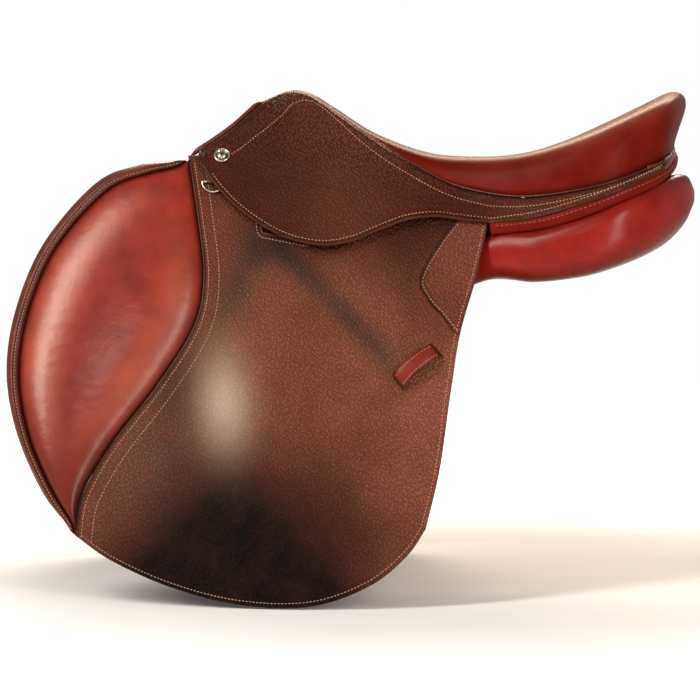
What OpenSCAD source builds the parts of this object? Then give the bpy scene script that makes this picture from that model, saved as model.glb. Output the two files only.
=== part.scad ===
// Jumping saddle: an English close-contact saddle with grained flaps, padded knee fronts,
// a moulded tree, flocked panels, girth straps, stirrup bars and front dees.
// Frame: +X to the cantle, +Z up, the near (left) side at -Y.
// Origin: on the centre plane, mid-length of the panels, level with their lowest rear point.

/* [Leather] */
// Thickness of the main flap leather
flap_t = 4.5; // [3:0.5:6]
// Thickness of the skirt leather
skirt_t = 4; // [2.5:0.5:5]
// Room between flap and skirt, where the dee lies
skirt_gap = 5; // [4.8:0.2:8]
// Thickness of the sweat flap under the girth straps
sweat_t = 3; // [2:0.5:4]
// Room between flap and sweat flap, where the girth straps hang
girth_room = 14; // [13:0.5:18]
// Thickness of the seat cover
cover_t = 2.5; // [1.5:0.5:3.5]
// Thickness of the rear reinforcing patch on the flap
patch_t = 2.5; // [1.5:0.5:4]

/* [Padding] */
// Height of the knee padding above the flap's inner face
knee_pad_h = 21; // [14:1:24]
// Width of the rolled binding in front of the knee padding
binding_w = 11; // [8:1:14]
// Height of the rolled binding
binding_h = 9; // [6:1:12]
// Thickness of the seat foam at the middle of the seat
foam_t = 22; // [16:1:26]
// Thickness of the thigh block behind the girth straps
thigh_block_t = 9; // [5:1:10]

/* [Girth straps] */
// Width of one girth strap
billet_w = 27; // [22:1:30]
// Thickness of one girth strap
billet_t = 4; // [3:0.5:4.5]
// Length of a girth strap below its pivot
billet_l = 245; // [200:5:270]
// Radius of a buckle hole
buckle_hole_r = 2.75; // [2:0.25:3.5]
// Distance between buckle holes
buckle_pitch = 25; // [20:1:30]
// Number of buckle holes in a strap
buckle_holes = 7; // [4:1:8]
// Distance between the two straps of a side
billet_pitch = 58; // [54:1:62]

/* [Metal] */
// Radius of the dee's wire
dee_wire_r = 1.2; // [1:0.1:1.4]
// Inside width of the dee
dee_w = 19; // [14:1:22]
// Length of the stirrup bar
bar_l = 58; // [50:1:66]
// Height of the stirrup bar
bar_h = 11; // [8:1:14]
// Thickness of the stirrup bar
bar_t = 7; // [5:0.5:8]
// Gap behind the stirrup bar, where the stirrup leather passes
bar_gap = 7; // [6:0.5:8]
// Radius of the saddle nail's head
nail_r = 8.2; // [6:0.2:10]
// Thickness of the steel plates on the tree's head
plate_t = 2.5; // [2:0.5:4]

/* [Tree] */
// Thickness of the wooden tree's head, front to back
head_t = 22; // [16:1:28]
// Thickness of a tree rail
rail_t = 10; // [7:1:12]
// Radius of the rivets in the tree's head
rivet_r = 2.5; // [2:0.25:3]

/* [Hidden] */
$fn = 32;
// Clearance between pieces that lie against each other
gap = 0.3;
// Radial clearance of a running pin
run = 0.05;

// The fold line: where flap and skirt bend when they are lifted, [x, half width, z]
fold_a = [-250, 66, 117];
fold_b = [36, 116, 56];
// How steeply the side falls outwards below the fold line, and how it rounds off
side_slope = 0.45;
side_curve = 0.00021;

skirt_in = flap_t + skirt_gap;
skirt_out = skirt_in + skirt_t;
sweat_out = -girth_room;
sweat_in = sweat_out - sweat_t;

LEATHER_DARK = "#4a221c";
LEATHER_RED = "#8c2b20";
LEATHER_EDGE = "#2c1a16";
WOOD = "#c49a6c";
STEEL = "#b9bcc0";
WEBBING = "#d8d2c4";
FOAM = "#e9e3d2";
BLOCK = "#5c2a22";

// Outlines on the flap, as [x, distance below the fold line]
PAD_LINE = [[-252, -2], [-242, 55], [-235, 110], [-243, 158], [-276, 219],
            [-320, 286], [-345, 337], [-351, 375]];
PAD_FRONT = [[-262, 5], [-300, 18], [-341, 44], [-389, 111], [-414, 179],
             [-421, 239], [-410, 293], [-384, 342], [-357, 369]];
FLAP_BOTTOM = [[-351, 375], [-316, 390], [-260, 401], [-196, 402], [-130, 388],
               [-77, 358], [-43, 324], [-25.5, 296]];
FLAP_REAR = [[37, 1], [25, 53], [8.5, 111], [-1, 167], [-12, 240], [-25.5, 296]];
SKIRT_LOWER = [[-238, 3], [-222, 23], [-196, 42], [-160, 56], [-124, 57], [-94, 47],
               [-66, 30], [-40, 15], [-12, 6]];
PATCH_FRONT = [[8, 3], [-12, 33], [-29, 68], [-22, 86], [-9, 98], [4, 112]];
SWEAT_FRONT = [[-238, 62], [-275, 95], [-325, 150], [-330, 240], [-285, 320]];
SWEAT_REAR = [[-8, 50], [-4, 105], [-10, 170], [-28, 240], [-70, 300]];
// Stirrup leather window in the flap: [x from, x to, d from, d to]
WINDOW = [-184, -141, 12, 58];
// Keeper on the flap: its two ends
KEEPER_A = [-51, 168];
KEEPER_B = [-15, 130];
keeper_w = 14;
keeper_t = 3.2;
keeper_rise = 7;

// Upper edge of the skirt and of the strip that runs on to the cantle, [x, half width, z]
SKIRT_TOP = [[-240, 64, 123], [-228, 58, 131], [-205, 49, 148], [-180, 33, 171], [-158, 15, 182],
             [-136, 25, 179], [-112, 41, 163], [-75, 64, 136], [-28, 88, 106], [12, 108, 87],
             [68, 137, 78], [129, 157, 86], [170, 152, 99], [203, 130, 111]];
// Lower edge of that strip behind the flap
STRIP_LOWER = [[36, 125, 55], [78, 140, 60], [129, 156, 75], [165, 153, 89], [203, 130, 106]];

// Seat: edge, top of the side roll and middle line, station by station
SEAT_EDGE = [[-182, 33, 169], [-158, 14, 181], [-136, 24, 178], [-112, 40, 163], [-75, 63, 137],
             [-28, 87, 107], [12, 107, 88], [68, 136, 79], [129, 156, 87], [175, 147, 101],
             [209, 108, 117], [225, 0, 128]];
SEAT_ROLL = [[-172, 15, 176], [-154, 7, 184], [-136, 11, 180], [-110, 18, 167], [-73, 32, 143],
             [-26, 52, 124], [14, 72, 118], [68, 100, 120], [124, 120, 136], [172, 115, 157],
             [207, 85, 174], [224, 0, 183]];
SEAT_MID = [[-166, 0, 178.5], [-150, 0, 185], [-130, 0, 180], [-108, 0, 166], [-70, 0, 142],
            [-24, 0, 125], [14, 0, 119], [60, 0, 117], [105, 0, 125], [140, 0, 137],
            [160, 0, 146], [172, 0, 152]];
// How far the seat's side swells past its edge, station by station
SEAT_SWELL = [0, 0, 0, 1, 2, 3, 4, 5, 6, 8, 13, 16];

// Panel cushion: [x, inner half width, inner z, outer half width, outer z, thickness]
PANEL = [[-240, 64, 14, 92, -52, 18], [-200, 50, 22, 110, -92, 28], [-130, 50, 26, 123, -92, 32],
         [-50, 52, 24, 117, -52, 34.6], [0, 54, 24, 97, 0, 38], [40, 56, 26, 107, 23, 45.5],
         [80, 60, 30, 125, 24, 51.5], [125, 63, 36, 133, 34, 61], [160, 65, 47, 131, 47, 66],
         [190, 64, 59, 117, 59, 66], [212, 61, 69, 95, 69, 61], [229.5, 56, 76, 77, 78, 42],
         [238.5, 55, 79, 67, 80, 12]];
// How square the cushion's section is: 1 is round, less is squarer
panel_square = 0.7;
// Rear welt between the cantle and the panels: its middle line, [x, half width, z]
WELT = [[44, 129, 49.6], [87, 144, 54.8], [127, 157, 67.4], [162, 155, 81.5], [190, 140, 93.6],
        [209, 112, 104.6], [220, 66, 114.4], [223, 0, 120.4]];

// Curves: a smooth line through control points, u running from 0 to 1
function through(a, b, c, d, t) =
    ((2 * b) + (c - a) * t + (2 * a - 5 * b + 4 * c - d) * t * t
     + (3 * b - a - 3 * c + d) * t * t * t) / 2;
function along(p, u) =
    let (n = len(p) - 1, s = min(max(u, 0), 1) * n, i = min(floor(s), n - 1),
         before = i > 0 ? p[i - 1] : 2 * p[0] - p[1],
         after = i + 2 <= n ? p[i + 2] : 2 * p[n] - p[n - 1])
    through(before, p[i], p[i + 1], after, s - i);
// Where a curve that always advances in x reaches a given x, by halving
function reach(p, x, lo = 0, hi = 1, steps = 18) =
    steps == 0 ? (lo + hi) / 2
    : along(p, (lo + hi) / 2)[0] < x ? reach(p, x, (lo + hi) / 2, hi, steps - 1)
    : reach(p, x, lo, (lo + hi) / 2, steps - 1);
function at_x(p, x) = along(p, reach(p, x));
function steps(n) = [for (i = [0:n]) i / n];
function flat(rows) = [for (r = rows) for (p = r) p];

// The side of the saddle: the flap's inner face, d below the fold line
fold_slope = (fold_b[2] - fold_a[2]) / (fold_b[0] - fold_a[0]);
fold_flare = (fold_b[1] - fold_a[1]) / (fold_b[0] - fold_a[0]);
function fold_z(x) = fold_a[2] + fold_slope * (x - fold_a[0]);
function fold_w(x) = fold_a[1] + fold_flare * (x - fold_a[0]);
function side_w(x, d) = fold_w(x) + side_slope * d - side_curve * d * abs(d);
function on_side(x, d, t) = [x, -(side_w(x, d) + t), fold_z(x) - d];
// Slopes of that side, for flat pieces that lie along it
function side_fall(d) = side_slope - 2 * side_curve * abs(d);
function side_toe(d) = atan(fold_flare + side_fall(d) * fold_slope);
function side_lean(d) = atan(side_fall(d) * cos(side_toe(d)));
// Children drawn in the XY plane, with +Z outwards, are laid along the side
module lay_on_side(x, d, t)
    translate(on_side(x, d, t)) rotate([-side_lean(d), 0, -side_toe(d)]) rotate([90, 0, 0]) children();

// Solids from grids of points: an outer face, an inner face and walls round the border.
// cut is a block of cells [row from, row to, column from, column to] left open.
// A zipped grid has its last row folded onto itself at the middle column.
module plate(outer, inner, cut = [0, 0, 0, 0], zip = false) {
    n = len(outer);
    m = len(outer[0]);
    shift = n * m;
    function id(i, j) = i * m + (zip && i == n - 1 && j > m / 2 ? m - 1 - j : j);
    function open_cell(i, j) = i >= cut[0] && i < cut[1] && j >= cut[2] && j < cut[3];
    function solid_cell(i, j) = i >= 0 && j >= 0 && i < n - 1 && j < m - 1 && !open_cell(i, j);
    function wall(p, q) = [[q, p, p + shift], [q, p + shift, q + shift]];
    faces = [for (i = [0:n - 2], j = [0:m - 2]) if (solid_cell(i, j))
        let (a = id(i, j), b = id(i, j + 1), c = id(i + 1, j + 1), d = id(i + 1, j), s = shift)
        each concat([[a, b, c], [a, c, d], [a + s, c + s, b + s], [a + s, d + s, c + s]],
            solid_cell(i - 1, j) ? [] : wall(a, b),
            solid_cell(i, j + 1) ? [] : wall(b, c),
            solid_cell(i + 1, j) || (zip && i == n - 2) ? [] : wall(c, d),
            solid_cell(i, j - 1) ? [] : wall(d, a))];
    polyhedron(concat(flat(outer), flat(inner)), faces, convexity = 10);
}
// A closed tube through rings of points, with flat ends
module tube(rings) {
    n = len(rings);
    m = len(rings[0]);
    sides = [for (i = [0:n - 2], j = [0:m - 1])
        let (a = i * m + j, b = i * m + (j + 1) % m, c = b + m, d = a + m)
        each [[a, b, c], [a, c, d]]];
    first = [for (j = [1:m - 2]) [0, j + 1, j]];
    last = [for (j = [1:m - 2]) [(n - 1) * m, (n - 1) * m + j, (n - 1) * m + j + 1]];
    polyhedron(flat(rings), concat(sides, first, last), convexity = 10);
}
module both_sides(right) mirror([0, right ? 1 : 0, 0]) children();
function mirrored(p) = [p[0], -p[1], p[2]];

// The flap's leather: a patch between its four edges
// Its top lies just below the fold line, with the front corner raised to the skirt's edge
function flap_top(u) = 4 - 3 * u - (4 - PAD_LINE[0][1]) * pow(max(1 - u / 0.1, 0), 2);
function flap_edge_point(u, v) =
    let (top = [PAD_LINE[0][0] + u * (FLAP_REAR[0][0] - PAD_LINE[0][0]), flap_top(u)],
         bottom = along(FLAP_BOTTOM, u), front = along(PAD_LINE, v), rear = along(FLAP_REAR, v),
         corners = (1 - u) * (1 - v) * PAD_LINE[0] + u * (1 - v) * FLAP_REAR[0]
             + (1 - u) * v * FLAP_BOTTOM[0] + u * v * FLAP_BOTTOM[len(FLAP_BOTTOM) - 1])
    (1 - v) * top + v * bottom + (1 - u) * front + u * rear - corners;
// Rows and columns of the flap, with lines on the window's borders
flap_len = 350;
flap_top_len = FLAP_REAR[0][0] - PAD_LINE[0][0];
win_u = [(WINDOW[0] - PAD_LINE[0][0]) / flap_top_len, (WINDOW[1] - PAD_LINE[0][0]) / flap_top_len];
win_v = [WINDOW[2] / flap_len, WINDOW[3] / flap_len];
FLAP_U = concat([0, win_u[0] / 2], [for (k = steps(2)) win_u[0] + k * (win_u[1] - win_u[0])],
                [for (k = [1:8]) win_u[1] + k / 8 * (1 - win_u[1])]);
FLAP_V = concat([0], [for (k = steps(2)) win_v[0] + k * (win_v[1] - win_v[0])],
                [for (k = [1:12]) win_v[1] + k / 12 * (1 - win_v[1])]);
window_cells = [1, 3, 2, 4];
module flap(right) both_sides(right) color(LEATHER_DARK)
    plate([for (v = FLAP_V) [for (u = FLAP_U) let (q = flap_edge_point(u, v)) on_side(q[0], q[1], flap_t)]],
          [for (v = FLAP_V) [for (u = FLAP_U) let (q = flap_edge_point(u, v)) on_side(q[0], q[1], 0)]],
          cut = window_cells);

// The knee padding in front of the flap, and its rolled binding
function toward(p, q, far) = p + (q - p) * far / norm(q - p);
function pad_inset(v, far) =
    let (a = along(PAD_FRONT, v), b = along(PAD_LINE, v)) toward(a, b, min(far, norm(b - a) / 2));
function pad_swell(u, v) = pow(sin(180 * u), 0.55) * pow(sin(180 * v), 0.5);
pad_edge_t = 2;
pad_room = 1.3;
PAD_V = steps(22);
module knee_pad(right) both_sides(right) color(LEATHER_RED) {
    grid = [for (v = PAD_V) [for (u = steps(8))
        let (a = pad_inset(v, binding_w + 1.5), b = along(PAD_LINE, v) - [pad_room, 0],
             q = a + (b - a) * u) [q[0], q[1], pad_edge_t + (knee_pad_h - pad_edge_t) * pad_swell(u, v)]]];
    plate([for (r = grid) [for (q = r) on_side(q[0], q[1], q[2])]],
          [for (r = grid) [for (q = r) on_side(q[0], q[1], 0)]]);
}
module knee_binding(right) both_sides(right) color(LEATHER_RED) {
    grid = [for (v = PAD_V) [for (u = steps(4))
        let (a = along(PAD_FRONT, v), b = pad_inset(v, binding_w), q = a + (b - a) * u)
        [q[0], q[1], pad_edge_t + (binding_h - pad_edge_t) * sin(180 * u)]]];
    plate([for (r = grid) [for (q = r) on_side(q[0], q[1], q[2])]],
          [for (r = grid) [for (q = r) on_side(q[0], q[1], 0)]]);
}

// Rear patch, stitched on the flap
module flap_patch(right) both_sides(right) color(LEATHER_DARK) {
    grid = [for (v = steps(12)) let (a = along(PATCH_FRONT, v), b = along(FLAP_REAR, v * 0.4) - [1, 0])
        [for (u = steps(4)) a + (b - a) * u]];
    low = flap_t + gap;
    plate([for (r = grid) [for (q = r) on_side(q[0], q[1], low + patch_t)]],
          [for (r = grid) [for (q = r) on_side(q[0], q[1], low)]]);
}

// Keeper loop for the spare end of the stirrup leather
keeper_axis = (KEEPER_B - KEEPER_A) / norm(KEEPER_B - KEEPER_A);
function keeper_arch(v) = flap_t + gap + keeper_rise * pow(sin(180 * v), 0.45);
function keeper_point(u, v, t) =
    let (q = KEEPER_A + (KEEPER_B - KEEPER_A) * v
             + [keeper_axis[1], -keeper_axis[0]] * (u - 0.5) * keeper_w)
    on_side(q[0], q[1], keeper_arch(v) + t);
module keeper(right) both_sides(right) color(LEATHER_RED)
    plate([for (v = steps(12)) [for (u = steps(2)) keeper_point(u, v, keeper_t)]],
          [for (v = steps(12)) [for (u = steps(2)) keeper_point(u, v, 0)]]);

// Skirt: the part sewn along the seat, and the loose part below the fold line
function skirt_foot(x) =
    let (s = at_x(STRIP_LOWER, x)) x < fold_b[0] ? [x, fold_w(x) + skirt_in, fold_z(x)] : [x, s[1], s[2]];
// The skirt bends from its seam to its foot so that it leaves the foot along the flap
skirt_bend = 0.5;
level_x = 60;
level_run = 90;
function foot_slope(x) = side_slope * min(max((level_x - x) / level_run, -0.7), 1);
function bend(a, b, c, v) = (1 - v) * (1 - v) * a + 2 * v * (1 - v) * b + v * v * c;
function skirt_point(u, v, t) =
    let (top = along(SKIRT_TOP, u), foot = skirt_foot(top[0]), tall = top[2] - foot[2],
         knee_w = foot[1] - foot_slope(top[0]) * skirt_bend * tall)
    [top[0], -(bend(top[1], knee_w, foot[1], v) + t), bend(top[2], foot[2] + skirt_bend * tall, foot[2], v)];
SKIRT_U = steps(36);
module skirt(right) both_sides(right) color(LEATHER_DARK)
    plate([for (v = steps(4)) [for (u = SKIRT_U) skirt_point(u, v, skirt_t)]],
          [for (v = steps(4)) [for (u = SKIRT_U) skirt_point(u, v, 0)]]);
fold_room = 0.6;
module skirt_flap(right) both_sides(right) color(LEATHER_DARK) {
    grid = [for (v = steps(4)) [for (u = steps(18))
        let (low = along(SKIRT_LOWER, u), deep = max(low[1] - fold_room, 2)) [low[0], fold_room + deep * v]]];
    plate([for (r = grid) [for (q = r) on_side(q[0], q[1], skirt_out)]],
          [for (r = grid) [for (q = r) on_side(q[0], q[1], skirt_in)]]);
}

// Seat: one leather cover over one foam, both from the same sections
function seat_section(u, a, t) =
    let (e = along(SEAT_EDGE, u), r = along(SEAT_ROLL, u), m = along(SEAT_MID, u),
         swell = along(SEAT_SWELL, u), out = [e[0] - m[0], e[1]],
         way = out / max(norm(out), 0.001), turn = min(a, 1) * 90, back = max(a - 1, 0),
         side = swell * 2.6 * pow(sin(turn), 2) * cos(turn),
         roll = [e[0] + (r[0] - e[0]) * (1 - cos(turn)) + way[0] * side,
                 e[1] + (r[1] - e[1]) * (1 - cos(turn)) + way[1] * side,
                 e[2] + (r[2] - e[2]) * sin(turn)],
         p = roll + (m - r) * back + [0, 0, (m[2] - r[2]) * ((1 - cos(180 * back)) / 2 - back)],
         inward = [-way[0] * cos(turn), -way[1] * cos(turn), -sin(turn)])
    [p[0] + inward[0] * t, -max(p[1] + inward[1] * t, 0), p[2] + inward[2] * t];
SEAT_A = [0, 0.25, 0.5, 0.75, 1, 1.35, 1.7, 2];
function seat_row(u, t) =
    let (left = [for (a = SEAT_A) seat_section(u, a, t)], n = len(left))
    concat(left, [for (k = [1:n - 1]) mirrored(left[n - 1 - k])]);
SEAT_U = steps(22);
module seat_cover() color(LEATHER_RED)
    plate([for (u = SEAT_U) seat_row(u, 0)], [for (u = SEAT_U) seat_row(u, cover_t)], zip = true);

foam_rim = 5;
foam_room = 1.2;
function foam_depth(u, a) = foam_rim + (foam_t - foam_rim) * min(a, 1) * min(u / 0.55, 1);
function foam_row(u, side) =
    let (low = cover_t + foam_room,
         left = [for (a = SEAT_A) seat_section(u, a, low + side * foam_depth(u, a))], n = len(left))
    concat(left, [for (k = [1:n - 1]) mirrored(left[n - 1 - k])]);
foam_from = 0.3;
FOAM_U = [for (u = SEAT_U) if (u >= foam_from) u];
module seat_foam() color(FOAM)
    plate([for (u = FOAM_U) foam_row(u, 0)], [for (u = FOAM_U) foam_row(u, 1)], zip = true);

// Facing round the front of the pommel, just ahead of the skirts' front edges
facing_r = 2.6;
facing_deep = 9;
FACING_AHEAD = [-1.9, 0, 2.1];
facing_end = reach(SKIRT_TOP, SEAT_EDGE[0][0]);
FACING_TOP = [[-181.5, -26, 171], [-177, -15, 174], [-172.5, 0, 175.8]];
FACING_SIDE = [for (u = steps(12)) mirrored(along(SKIRT_TOP, u * facing_end)) + FACING_AHEAD];
FACING_HALF = concat(FACING_SIDE, FACING_TOP);
FACING = concat(FACING_HALF, [for (k = [len(FACING_HALF) - 2:-1:0]) mirrored(FACING_HALF[k])]);
function facing_ring(k) =
    let (p = FACING[k], n = len(FACING) - 1, e = FACING[min(k + 1, n)] - FACING[max(k - 1, 0)],
         ahead = [-0.68, 0, 0.73], deep = cross(e / norm(e), ahead))
    [for (j = [0:9]) p + ahead * facing_r * sin(j * 36) + deep * facing_deep * (cos(j * 36) - 0.6) / 2];
module pommel_facing() color(LEATHER_RED) tube([for (k = [0:len(FACING) - 1]) facing_ring(k)]);

// Saddle nails, one on each skirt beside the pommel
nail_at = [0.112, 0.7];
module saddle_nail(right) both_sides(right) color(STEEL) {
    p = skirt_point(nail_at[0], nail_at[1], skirt_t);
    a = skirt_point(nail_at[0] + 0.004, nail_at[1], skirt_t) - p;
    b = skirt_point(nail_at[0], nail_at[1] + 0.01, skirt_t) - p;
    c = cross(b, a);
    n = (c[1] < 0 ? c : -c) / norm(c);
    translate(p + n * gap)
        rotate([0, acos(n[2]), atan2(n[1], n[0])]) {
            cylinder(r = nail_r, h = 1.4);
            translate([0, 0, 1.4]) cylinder(r1 = nail_r * 0.82, r2 = nail_r * 0.45, h = 1.8);
        }
}

// Tree: wooden head, rails and cantle with steel plates and springs
head_x = -196;
HEAD_OUTER = [[0, 148], [18, 144], [34, 130], [48, 108], [57, 82]];
PLATE_OUTER = [for (p = HEAD_OUTER) p - [0, 3]];
HEAD_INNER = [[44, 70], [36, 90], [24, 108], [12, 122], [0, 127]];
module arch(outer, inner, thick) rotate([90, 0, 90]) linear_extrude(thick)
    polygon(concat(outer, inner, [for (k = [len(inner) - 2:-1:0]) [-inner[k][0], inner[k][1]]],
                   [for (k = [len(outer) - 1:-1:1]) [-outer[k][0], outer[k][1]]]));
RIVETS = [[0, 138], [27, 122], [-27, 122], [45, 90], [-45, 90]];
module rivet_holes(extra) for (q = RIVETS)
    translate([head_x - plate_t - 5, q[0], q[1]]) rotate([0, 90, 0])
        cylinder(r = rivet_r + extra, h = head_t + 2 * plate_t + 10);
module tree_head() color(WOOD) difference() {
    translate([head_x, 0, 0]) arch(HEAD_OUTER, HEAD_INNER, head_t);
    rivet_holes(run);
}
module head_plate() color(STEEL) difference() {
    translate([head_x - gap - plate_t, 0, 0]) arch(PLATE_OUTER, HEAD_INNER, plate_t);
    rivet_holes(run);
}
module gullet_plate() color(STEEL) difference() {
    translate([head_x + head_t + gap, 0, 0]) arch(PLATE_OUTER, HEAD_INNER, plate_t);
    rivet_holes(run);
}
module tree_rivets() color(STEEL) for (q = RIVETS) translate([head_x - gap - plate_t - 1.5, q[0], q[1]])
    rotate([0, 90, 0]) {
        cylinder(r = rivet_r, h = head_t + 2 * plate_t + 3);
        cylinder(r = rivet_r * 1.7, h = 1.2);
        translate([0, 0, head_t + 2 * plate_t + 2 * gap + 1.8]) cylinder(r = rivet_r * 1.7, h = 1.2);
    }
rail_inset = 1.2;
rail_half = 12;
rail_x = [head_x + head_t + plate_t + 3, 150.6];
rail_u = [reach(SKIRT_TOP, rail_x[0]), reach(SKIRT_TOP, rail_x[1])];
function rail_v(u, up) =
    let (top = along(SKIRT_TOP, u), tall = top[2] - skirt_foot(top[0])[2],
         half = min(rail_half / tall, 0.42))
    max(min(0.72, 0.92 - half), 0.08 + half) - up * half;
function rail_point(u, up, t) = skirt_point(u, rail_v(u, up), -rail_inset - t);
spring_t = 1.6;
function spring_point(u, f, t) = (1 - f) * rail_point(u, 1, t) + f * rail_point(u, -1, t);
RAIL_U = [for (k = steps(20)) rail_u[0] + k * (rail_u[1] - rail_u[0])];
module tree_rail(right) both_sides(right) color(WOOD)
    plate([for (up = [1, -1]) [for (u = RAIL_U) rail_point(u, up, 0)]],
          [for (up = [1, -1]) [for (u = RAIL_U) rail_point(u, up, rail_t)]]);
module tree_spring(right) both_sides(right) color(STEEL)
    plate([for (f = [0.2, 0.8]) [for (u = RAIL_U) spring_point(u, f, rail_t + 4 * gap)]],
          [for (f = [0.2, 0.8]) [for (u = RAIL_U) spring_point(u, f, rail_t + 4 * gap + spring_t)]]);
cantle_from = 0.772;
cantle_inset = [2, 9.2];
CANTLE_Z = [-2, -13];
function cantle_point(u, inset, z) =
    let (e = along(SEAT_EDGE, u), m = along(SEAT_MID, u), out = [e[0] - m[0], e[1]], way = out / norm(out))
    [e[0] - way[0] * inset, -(e[1] - way[1] * inset), e[2] + z];
function cantle_in(k) = cantle_inset[0] + (cantle_inset[1] - cantle_inset[0]) * sin(90 * k);
function cantle_row(inset, z) =
    let (left = [for (k = steps(10))
             cantle_point(cantle_from + k * (1 - cantle_from), cantle_in(k) + inset, z)],
         n = len(left))
    concat(left, [for (k = [1:n - 1]) mirrored(left[n - 1 - k])]);
module tree_cantle() color(WOOD)
    plate([for (z = CANTLE_Z) cantle_row(0, z)], [for (z = CANTLE_Z) cantle_row(rail_t + 2, z)]);

// Seat webs under the foam
web_w = 62;
web_t = 1.6;
WEB = [[head_x + head_t + plate_t + 2.2, 134], [-110, 126], [-60, 103], [0, 89], [60, 87], [120, 93],
       [170, 108], [202.5, 116]];
function web_row(u, t) = let (q = along(WEB, u)) [for (s = [-1, 1]) [q[0], s * web_w / 2, q[1] - t]];
module seat_web_long() color(WEBBING)
    plate([for (u = steps(14)) web_row(u, 0)], [for (u = steps(14)) web_row(u, web_t)]);
cross_web = [22, 46, 83.2];
web_inset = 16;
module seat_web_cross() color(WEBBING)
    translate([cross_web[0], web_inset - fold_w(cross_web[0]), cross_web[2]])
        cube([cross_web[1], 2 * (fold_w(cross_web[0]) - web_inset), web_t]);

// Panels: two long cushions either side of the spine, with a lined channel between
function square_off(c) = sign(c) * pow(abs(c), panel_square);
function panel_ring(s) =
    let (r = s[5] / 2, i = [-s[1], s[2]], o = [-s[3], s[4]], e = (o - i) / norm(o - i), n = [e[1], -e[0]])
    [for (c = [o, i], k = [0:8])
        let (a = (c == o ? -90 : 90) + k * 22.5,
             q = c + r * (square_off(cos(a)) * e + square_off(sin(a)) * n))
        [s[0], q[0], q[1]]];
module panel(right) both_sides(right) color(LEATHER_RED)
    tube([for (u = steps(30)) panel_ring(along(PANEL, u))]);
channel_half = 50;
function channel_z(x) = let (s = at_x(PANEL, x)) s[2] + s[5] * 0.56 + 0.4;
channel_x = [-170, 190];
CHANNEL_X = [for (k = steps(12)) channel_x[0] + k * (channel_x[1] - channel_x[0])];
module panel_channel() color(LEATHER_RED)
    plate([for (x = CHANNEL_X) [for (y = [-channel_half, channel_half]) [x, y, channel_z(x) + 2]]],
          [for (x = CHANNEL_X) [for (y = [-channel_half, channel_half]) [x, y, channel_z(x)]]]);
welt_h = 6.2;
welt_t = 3;
function welt_ring(p, way) = [for (k = [0:9]) let (a = k * 36)
    p + [way[0] * welt_t * cos(a), way[1] * welt_t * cos(a), welt_h * sin(a)]];
function welt_at(u) =
    let (p = along(WELT, u), a = along(WELT, u + 0.02), b = along(WELT, u - 0.02), e = a - b,
         way = u > 0.97 ? [1, 0] : [-e[1], e[0]] / norm([e[0], e[1]]))
    [[p[0], -p[1], p[2]], [way[0], -way[1]]];
WELT_PATH = [for (u = steps(20)) welt_at(u)];
function welt_back(q) = [mirrored(q[0]), [q[1][0], -q[1][1]]];
WELT_ALL = concat(WELT_PATH, [for (k = [len(WELT_PATH) - 2:-1:0]) welt_back(WELT_PATH[k])]);
module rear_welt() color(LEATHER_RED)
    tube([for (q = WELT_ALL) welt_ring(q[0], q[1])]);

// Sweat flap under the girth straps
module sweat_flap(right) both_sides(right) color(LEATHER_DARK) {
    grid = [for (v = steps(10)) let (a = along(SWEAT_FRONT, v), b = along(SWEAT_REAR, v))
        [for (u = steps(6)) a + (b - a) * u]];
    plate([for (r = grid) [for (q = r) on_side(q[0], q[1], sweat_out)]],
          [for (r = grid) [for (q = r) on_side(q[0], q[1], sweat_in)]]);
}

// Girth straps on their web
billet_x = -72;
billet_d = 75;
billet_mid = 190;
billet_out = -4;
pin_r = 3;
billet_top = 18;
billet_point = 16;
billet_tip = 4;
pin_head_t = 0.5;
module lay_billet(x) translate(on_side(x, billet_d, billet_out))
    rotate([-side_lean(billet_mid), 0, -side_toe(billet_mid)]) rotate([90, 0, 0]) children();
module billet(x, right) both_sides(right) color(LEATHER_DARK) lay_billet(x) translate([0, 0, -billet_t])
    linear_extrude(billet_t) difference() {
        polygon([[-billet_w / 2, billet_top], [billet_w / 2, billet_top],
                 [billet_w / 2, billet_point - billet_l], [billet_tip, -billet_l],
                 [-billet_tip, -billet_l], [-billet_w / 2, billet_point - billet_l]]);
        circle(r = pin_r + run);
        for (k = [0:buckle_holes - 1]) translate([0, -billet_l + 32 + k * buckle_pitch])
            circle(r = buckle_hole_r);
    }
girth_web_t = 2.2;
// The web runs from below the pin up to just under the tree's rail
web_below = 14;
web_top_d = -1.5;
web_above = (billet_d - web_top_d) / cos(side_lean(billet_mid));
module girth_web(right) both_sides(right) color(WEBBING) for (s = [-1, 1])
    lay_billet(billet_x + s * billet_pitch / 2) {
        translate([-billet_w / 2, -web_below, -billet_t - gap - girth_web_t])
            cube([billet_w, web_below + web_above, girth_web_t]);
        translate([0, 0, -billet_t - gap - girth_web_t])
            cylinder(r = pin_r, h = billet_t + girth_web_t + 2 * gap + pin_head_t);
        translate([0, 0, gap]) cylinder(r = pin_r * 1.9, h = pin_head_t);
    }
guard_t = 1.8;
guard_out = -0.5;
GUARD = [[-150, 62], [-6, 56], [-14, 172], [-146, 176]];
module billet_guard(right) both_sides(right) color(LEATHER_DARK) {
    grid = [for (v = steps(5)) [for (u = steps(5))
        (1 - v) * ((1 - u) * GUARD[0] + u * GUARD[1]) + v * ((1 - u) * GUARD[3] + u * GUARD[2])]];
    plate([for (r = grid) [for (q = r) on_side(q[0], q[1], guard_out)]],
          [for (r = grid) [for (q = r) on_side(q[0], q[1], guard_out - guard_t)]]);
}
BLOCK_FRONT = [[-8, 90], [-12, 125], [-16, 160]];
BLOCK_REAR = [[6, 82], [1, 125], [-4, 168]];
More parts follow.
